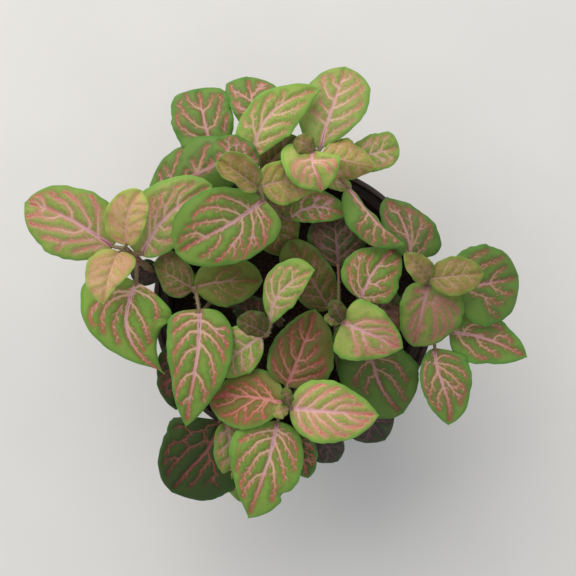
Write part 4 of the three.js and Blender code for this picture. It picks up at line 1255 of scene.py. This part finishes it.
# Soft stem: a moist skin with a low gloss, green to brownish pink.
flesh = new_material("soft_green_stem")
where = add(flesh, "TexCoord", out="Object")
flush = add(flesh, "TexNoise", {"Vector": where, "Scale": scale_for(BLUSH_SIZE), "Detail": 4.0})
stops = [(0.3, "#6a6c3c"), (0.5, "#7c6a48"), (0.72, "#8c5c50")]
tint = add(flesh, "ValToRGB", {0: flush}, stops=stops)
fibres = add(flesh, "TexNoise", {"Vector": where, "Scale": scale_for(FIBRE_SIZE), "Detail": 2.0})
ridged = add(flesh, "Bump", {"Height": fibres, "Strength": 0.3, "Distance": FIBRE_HEIGHT})
skin = add(flesh, "BsdfPrincipled",
           {"Base Color": tint, "Roughness": 0.5, "Normal": ridged, "IOR": 1.42})
add(flesh, "OutputMaterial", {"Surface": skin})

# Clear hair: fine and smooth, so all that shows of it is a pale, slightly shiny down.
down = new_material("clear_stem_hair")
where = add(down, "TexCoord", out="Object")
cloudy = add(down, "TexNoise", {"Vector": where, "Scale": scale_for(CLOUD_SIZE)})
tint = add(down, "ValToRGB", {0: cloudy}, stops=[(0.35, "#b4ac92"), (0.65, "#cdc4ae")])
skin = add(down, "BsdfPrincipled", {"Base Color": tint, "Roughness": 0.35})
add(down, "OutputMaterial", {"Surface": skin})
print("stem materials:", flesh.name, down.name)

# %% Grow the stems of every shoot
PEAT_TOP = 76.0
ROOT_DEPTH = 16.0
STRAIGHT_STEM = 6.0
STEM_RADIUS = 1.55
STEM_TAPER = 0.25  # share by which a stem is thinner at its top
STEM_SIDES = 12
STEM_EACH = 24  # points between two given points of a stem
STEM_HAIRS, HAIRS_FROM = 420, 30  # hairs start at this point of a stem, just above the peat
SWELLING, SWELLING_SHARE = 0.3, 0.02  # mm, and its reach as a share of the stem
STALK_RADIUS = 0.85
STALK_SUNK = 0.03  # share of the midrib where a stalk ends
STALK_TAPER = (1.15, 0.75)  # shares of its radius at the stem and at the leaf
STALK_SIDES, STALK_POINTS, STALK_HAIRS = 10, 14, 60
GROWN_STALK = 34  # mm of a leaf whose stalk has the full radius
LEAST_STALK = 0.5  # share of the full radius that the smallest leaf's stalk has
NUDGE = 0.01  # of the upward direction, for a stalk that runs on in line with its stem
STEM_SEED, NAME_STEP = 2000, 31

for name, shoot in SHOOTS.items():
    draw = np.random.default_rng(STEM_SEED + NAME_STEP * len(name) + ord(name[0]))
    foot = np.array([*shoot["root"], PEAT_TOP])
    given = [foot - UP * ROOT_DEPTH, foot, foot + UP * STRAIGHT_STEM,
             seen(shoot["bend"]), seen(shoot["top"])]
    path = smooth_path(given, STEM_EACH)
    share = np.linspace(0, 1, len(path))
    joints = np.array([leaf["at"] for leaf in shoot["records"]])
    swelling = np.exp(-(((share[:, None] - joints) / SWELLING_SHARE) ** 2)).max(axis=1)
    radii = STEM_RADIUS * (1 - STEM_TAPER * share) + SWELLING * swelling
    lean = np.cross(UP, path[-1] - path[0])
    parts = [carry_round(path, radii, unit(lean), STEM_SIDES),
             downy(path[HAIRS_FROM:], radii[HAIRS_FROM:], STEM_HAIRS, draw)]
    for leaf in shoot["records"]:
        start, stem_way = at_share(path, leaf["at"])
        end, slope = bezier(leaf["rib"], STALK_SUNK)
        third = np.linalg.norm(end - start) / 3
        out = unit(unit(end - start) + stem_way)
        stalk = (start, start + out * third, end - unit(slope) * third, end)
        line = bezier(stalk, np.linspace(0, 1, STALK_POINTS))[0]
        scale = np.clip(leaf["length"] / GROWN_STALK, LEAST_STALK, 1.0)
        thick = STALK_RADIUS * scale * np.linspace(*STALK_TAPER, len(line))
        across = np.cross(unit(end - start), stem_way) + NUDGE * UP
        parts.append(carry_round(line, thick, unit(across), STALK_SIDES))
        parts.append(downy(line, thick, int(STALK_HAIRS * scale), draw))
    stems = put_mesh(f"stems_{name}", parts, [flesh, down])
    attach(stems, "root")
    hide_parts(f"shoot_{name}")

# %% [markdown]
# ## The pot
# A nursery pot is pressed from thin polypropylene: a tapered wall, a collar that it is
# lifted and stacked by, a rolled lip, and holes in its floor. The wall is one closed profile
# turned about the axis. The floor is six equal sectors, each a grid from its hole's edge to the
# sector's outline.

# %% Pot sizes and profile
POT_HEIGHT = 94.0
RIM_RADIUS = 60.0
BASE_RADIUS = 43.0
POT_WALL = 1.2
POT_FLOOR = 1.6
COLLAR_HEIGHT = 11.0
COLLAR_STEP = 1.6
COLLAR_LEAN = 0.2
LIP_HEIGHT = 2.2
LIP_OVERHANG = 0.9
LIP_FOOT, LIP_TOP = 0.7, 0.25  # shares of the lip's height where its round side starts and ends
LIP_EDGE = 0.6  # share of the overhang that the top edge is rounded by
BASE_EDGE = 1.5
CORNER_RADIUS, CORNER_POINTS = 0.35, 5
INNER_FLOOR = 40.0  # radius where the wall's profile ends and the floor's sectors begin
POT_SIDES = 180


def pot_radius(height):
    """Radius of the outer wall below the collar, growing evenly with the height."""
    top = RIM_RADIUS - LIP_OVERHANG - COLLAR_STEP
    return BASE_RADIUS + (top - BASE_RADIUS) * height / POT_HEIGHT


def rounded(corners):
    """A profile whose inner corners are rounded: each corner is replaced by a quadratic curve
    between points at the radius, or a third of the side, before and after it."""
    corners = np.array(corners, float)
    line = [corners[0]]
    for before, corner, after in zip(corners[:-2], corners[1:-1], corners[2:]):
        ends = []
        for run in (before - corner, after - corner):
            ends.append(corner + unit(run) * min(CORNER_RADIUS, np.linalg.norm(run) / 3))
        t = np.linspace(0, 1, CORNER_POINTS)[:, None]
        line.extend((1 - t) ** 2 * ends[0] + 2 * t * (1 - t) * corner + t**2 * ends[1])
    return np.vstack([line, corners[-1:]])


def turned(profile, sides):
    """A profile of (radius, height) turned about the axis: x = r cos a, y = r sin a."""
    angle = 2 * np.pi * np.arange(sides) / sides
    radius, height = profile[:, :1], np.repeat(profile[:, 1:], sides, axis=1)
    return np.stack([radius * np.cos(angle), radius * np.sin(angle), height], axis=-1)


foot = POT_HEIGHT - COLLAR_HEIGHT
collar = RIM_RADIUS - LIP_OVERHANG
wall_profile = rounded([
    (INNER_FLOOR, 0), (BASE_RADIUS - BASE_EDGE, 0), (pot_radius(BASE_EDGE), BASE_EDGE),
    (pot_radius(foot), foot), (collar - COLLAR_LEAN, foot), (collar, POT_HEIGHT - LIP_HEIGHT),
    (RIM_RADIUS, POT_HEIGHT - LIP_HEIGHT * LIP_FOOT), (RIM_RADIUS, POT_HEIGHT - LIP_HEIGHT * LIP_TOP),
    (RIM_RADIUS - LIP_OVERHANG * LIP_EDGE, POT_HEIGHT), (collar - POT_WALL, POT_HEIGHT),
    (collar - POT_WALL, foot + POT_WALL), (pot_radius(foot) - POT_WALL, foot - POT_WALL),
    (pot_radius(POT_FLOOR) - POT_WALL, POT_FLOOR), (INNER_FLOOR, POT_FLOOR)])
print("pot profile:", len(wall_profile), "points")

# %% Floor sectors round the drain holes
DRAIN_HOLES = 6
DRAIN_RADIUS = 4.0
DRAIN_CIRCLE = 30.0
RAY_POINTS = 8
SECTOR_ROWS = 5


def floor_sector(turn, height):
    """Grid from a hole's edge to its sector's outline: (1-s) * circle + s * outline. The outline
    runs out along one ray, round the arc and back along the other ray."""
    half = np.pi / DRAIN_HOLES
    arc = np.linspace(-half, half, POT_SIDES // DRAIN_HOLES + 1)
    ray = np.linspace(0, INNER_FLOOR, RAY_POINTS, endpoint=False)
    radius = np.concatenate([ray, np.full(len(arc), INNER_FLOOR), ray[:0:-1]])
    angle = np.concatenate([np.full(len(ray), -half), arc, np.full(len(ray) - 1, half)])
    outline = np.stack([radius * np.cos(angle), radius * np.sin(angle)], axis=-1)
    centre = np.array([DRAIN_CIRCLE, 0.0])
    circle = centre + DRAIN_RADIUS * unit(outline - centre)
    s = np.linspace(0, 1, SECTOR_ROWS)[:, None, None]
    flat = circle * (1 - s) + outline * s
    c, d = np.cos(turn), np.sin(turn)
    x, y = flat[..., 0] * c - flat[..., 1] * d, flat[..., 0] * d + flat[..., 1] * c
    return np.stack([x, y, np.full(x.shape, height)], axis=-1)


walls = turned(wall_profile, POT_SIDES)
faces = grid_faces(numbered(*walls.shape[:2]), closed=True)[:, ::-1]
pot_parts = [{"points": walls.reshape(-1, 3), "faces": [faces]}]
for k in range(DRAIN_HOLES):
    turn = 2 * np.pi * (k + 0.5) / DRAIN_HOLES
    under, above = floor_sector(turn, 0.0), floor_sector(turn, POT_FLOOR)
    index = numbered(*under.shape[:2])
    hole = np.stack([index[0], index[0] + index.size])
    faces = [grid_faces(index, closed=True)[:, ::-1], grid_faces(index + index.size, closed=True),
             grid_faces(hole, closed=True)]
    pot_parts.append({"points": np.vstack([under.reshape(-1, 3), above.reshape(-1, 3)]), "faces": faces})
print("pot parts:", len(pot_parts))

# %% [markdown]
# ## Pressed polypropylene
# Thin brown plastic with a satin skin: faint flow streaks down the wall, a fine orange-peel
# texture, and patches of dust and dried peat.

# %% Pot material
STREAK_WIDTH = 2.4  # mm across a flow streak
STREAK_SQUASH = 0.08  # a streak is this share as wide as it is tall
DUST_SIZE = 6.7  # mm across a patch of dust
DUST_RANGE = (0.58, 0.72)  # values of its noise where dust starts and where it lies thickest
DUST_SHARE = 0.35  # how much of the plastic the thickest dust hides
SATIN = (0.34, 0.52)  # roughness of clean and of dull plastic
SATIN_RANGE = (0.3, 0.7)  # values of the dust's noise that give it
PEEL_SIZE = 0.85  # mm between the skin's dimples
PEEL_DEPTH = 0.1 * MM
JOIN_WITHIN = 0.02 * MM

# Pressed polypropylene: a satin skin, duller where dust lies, so its highlight is soft and broken.
plastic = new_material("pressed_brown_polypropylene")
where = add(plastic, "TexCoord", out="Object")
tall = add(plastic, "Mapping", {"Vector": where, "Scale": (1.0, 1.0, STREAK_SQUASH)})
streaks = add(plastic, "TexNoise", {"Vector": tall, "Scale": scale_for(STREAK_WIDTH), "Detail": 3.0})
base = add(plastic, "ValToRGB", {0: streaks}, stops=[(0.3, "#3a2a2a"), (0.7, "#4a3836")])
dusty = add(plastic, "TexNoise", {"Vector": where, "Scale": scale_for(DUST_SIZE), "Detail": 6.0})
start, full = DUST_RANGE
dust = add(plastic, "MapRange", {0: dusty, 1: start, 2: full, 4: DUST_SHARE})
base = add(plastic, "Mix", {FACTOR: dust, BELOW: base, ABOVE: colour("#6b5548")}, out=MIXED, **RGBA)
start, full = SATIN_RANGE
dull = add(plastic, "MapRange", {0: dusty, 1: start, 2: full, 3: SATIN[0], 4: SATIN[1]})
peel = add(plastic, "TexNoise", {"Vector": where, "Scale": scale_for(PEEL_SIZE), "Detail": 1.0})
peel = add(plastic, "Bump", {"Height": peel, "Strength": 0.2, "Distance": PEEL_DEPTH})
shader = add(plastic, "BsdfPrincipled",
             {"Base Color": base, "Roughness": dull, "Normal": peel, "IOR": 1.49})
add(plastic, "OutputMaterial", {"Surface": shader})

# The sectors and the wall share their outlines, so welding them makes one closed shell.
pot = put_mesh("nursery_pot", pot_parts, [plastic])
merge = pot.modifiers.new("join_sectors", "WELD")
merge.merge_threshold = JOIN_WITHIN
bpy.context.view_layer.update()
welded = bpy.data.meshes.new_from_object(pot.evaluated_get(bpy.context.evaluated_depsgraph_get()))
pot.modifiers.clear()
pot.data = welded
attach(pot, "root")
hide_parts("pot")

# %% [markdown]
# ## Peat
# The root ball is dark, moist peat with a lumpy, crumbly top. It fills the pot to 18 mm below the
# rim. The body is a profile turned about the axis, its top raised by long waves and by clods, and
# loose crumbs lie on it.

# %% Peat body
PEAT_LUMP = 1.1
PEAT_WAVES = (7, 6, 4.3)  # mm for a radian of each wave of the lumps
# Clods in two sizes: their height in mm, and for the wave across and the wave away its radians a
# mm, how far the other direction bends it, and the radians a mm of that bend.
CLODS = ((0.45, (1.3, 1.0, 0.9), (1.1, 1.0, 0.7)), (0.22, (3.1, 1.7, 2.3), (2.9, 1.3, 2.1)))
PEAT_GAP = 0.3  # mm between the peat and the pot's wall and floor
PEAT_RINGS, PEAT_STEPS, PEAT_SIDES = 40, 16, 144  # on the top, up the side and round the body
POLE_RADIUS = 0.4  # of the ring round the middle, which a fan closes


def peat_height(x, y):
    """Mean level, plus long waves sin(x + 1) cos y + sin(x + y) / 2, plus for each size of clod
    sin(x + sin y) cos(y + sin x), each with its own lengths."""
    across, away, slanting = PEAT_WAVES
    broad = np.sin(x / across + 1) * np.cos(y / away)
    level = PEAT_TOP + PEAT_LUMP * (broad + 0.5 * np.sin((x + y) / slanting))
    for height, (fast, bent, bend), (fast_away, bent_away, bend_away) in CLODS:
        wave = np.sin(x * fast + bent * np.sin(y * bend))
        level = level + height * wave * np.cos(y * fast_away + bent_away * np.sin(x * bend_away))
    return level


bottom = POT_FLOOR + PEAT_GAP
edge = pot_radius(PEAT_TOP) - POT_WALL - PEAT_GAP
heights = np.linspace(bottom, PEAT_TOP - 2 * PEAT_LUMP, PEAT_STEPS)
side = [(pot_radius(z) - POT_WALL - PEAT_GAP, z) for z in heights]
rings = [(radius, PEAT_TOP) for radius in np.linspace(edge, POLE_RADIUS, PEAT_RINGS)]
ball = turned(np.array([(POLE_RADIUS, bottom), (edge / 3, bottom), *side, *rings]), PEAT_SIDES)
ball[-PEAT_RINGS:, :, 2] = peat_height(ball[-PEAT_RINGS:, :, 0], ball[-PEAT_RINGS:, :, 1])
peat_parts = [ringed_body(ball, [[0, 0, bottom], [0, 0, float(peat_height(0.0, 0.0))]])]

# %% Crumbs on the peat
CRUMBS, CRUMB_SEED = 420, 31
CRUMB_ROWS, CRUMB_SIDES = 4, 6
CRUMB_SIZE = (0.35, 1.5)  # radius in mm
CRUMB_SQUASH = (0.6, 1.0)  # share of it along each axis
CRUMB_LUMPS = (0.75, 1.15)  # share of it at each point
CRUMB_LIFT = 0.2  # how far a crumb's middle is above the peat, as a share of its height
CRUMB_EDGE = 2.5  # mm from the peat's edge that crumbs keep


def crumbs(count, draw):
    """Crumbs as lumpy balls: a sphere's grid of latitude and longitude, each point pushed in or
    out by a draw, scaled, and set about half into the peat."""
    latitude = np.linspace(-np.pi / 2, np.pi / 2, CRUMB_ROWS + 2)[1:-1]
    longitude = np.linspace(0, 2 * np.pi, CRUMB_SIDES, endpoint=False)
    a, b = np.meshgrid(latitude, longitude, indexing="ij")
    rings = np.stack([np.cos(a) * np.cos(b), np.cos(a) * np.sin(b), np.sin(a)], axis=-1)
    ball = ringed_body(rings, [[0, 0, -1], [0, 0, 1]])
    corners = len(ball["points"])
    sizes = draw.uniform(*CRUMB_SIZE, (count, 1, 1)) * draw.uniform(*CRUMB_SQUASH, (count, 1, 3))
    lumps = ball["points"] * sizes * draw.uniform(*CRUMB_LUMPS, (count, corners, 1))
    radius = (edge - CRUMB_EDGE) * np.sqrt(draw.uniform(0, 1, count))
    angle = draw.uniform(0, 2 * np.pi, count)
    x, y = radius * np.cos(angle), radius * np.sin(angle)
    places = np.stack([x, y, peat_height(x, y) + CRUMB_LIFT * sizes[:, 0, 2]], axis=-1)
    shifts = corners * np.arange(count)[:, None, None]
    faces = [(face[None] + shifts).reshape(-1, face.shape[1]) for face in ball["faces"]]
    return {"points": (lumps + places[:, None, :]).reshape(-1, 3), "faces": faces}


peat_parts.append(crumbs(CRUMBS, np.random.default_rng(CRUMB_SEED)))

# %% Peat material
GRAIN_SIZE = 1.4  # mm across a grain of peat
GRAIN_HEIGHT = 0.6 * MM

# Moist peat: near black, crumbly and matt, with a few rusty specks.
moist = new_material("moist_crumbly_peat")
where = add(moist, "TexCoord", out="Object")
grains = add(moist, "TexNoise", {"Vector": where, "Scale": scale_for(GRAIN_SIZE), "Detail": 8.0})
stops = [(0.3, "#130d0a"), (0.55, "#2a1d15"), (0.75, "#4a3424")]
tint = add(moist, "ValToRGB", {0: grains}, stops=stops)
rough = add(moist, "Bump", {"Height": grains, "Strength": 0.8, "Distance": GRAIN_HEIGHT})
shader = add(moist, "BsdfPrincipled",
             {"Base Color": tint, "Roughness": 0.93, "Normal": rough, "Specular IOR Level": 0.25})
add(moist, "OutputMaterial", {"Surface": shader})
peat = put_mesh("peat_ball", peat_parts, [moist])
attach(peat, "root")
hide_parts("peat")

# %% [markdown]
# ## Sizes
# The visual model is meant to stay inside the CAD model's box, so both boxes are printed to compare.

# %% Write both boxes and finish
bpy.context.view_layer.update()
boxes = {"cad": [list(corner) for corner in CAD_BOX],
         "visual": [list(corner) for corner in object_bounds()]}
for name, (low, high) in boxes.items():
    print(name, "mm", [round(v * 1000, 1) for v in low], [round(v * 1000, 1) for v in high])
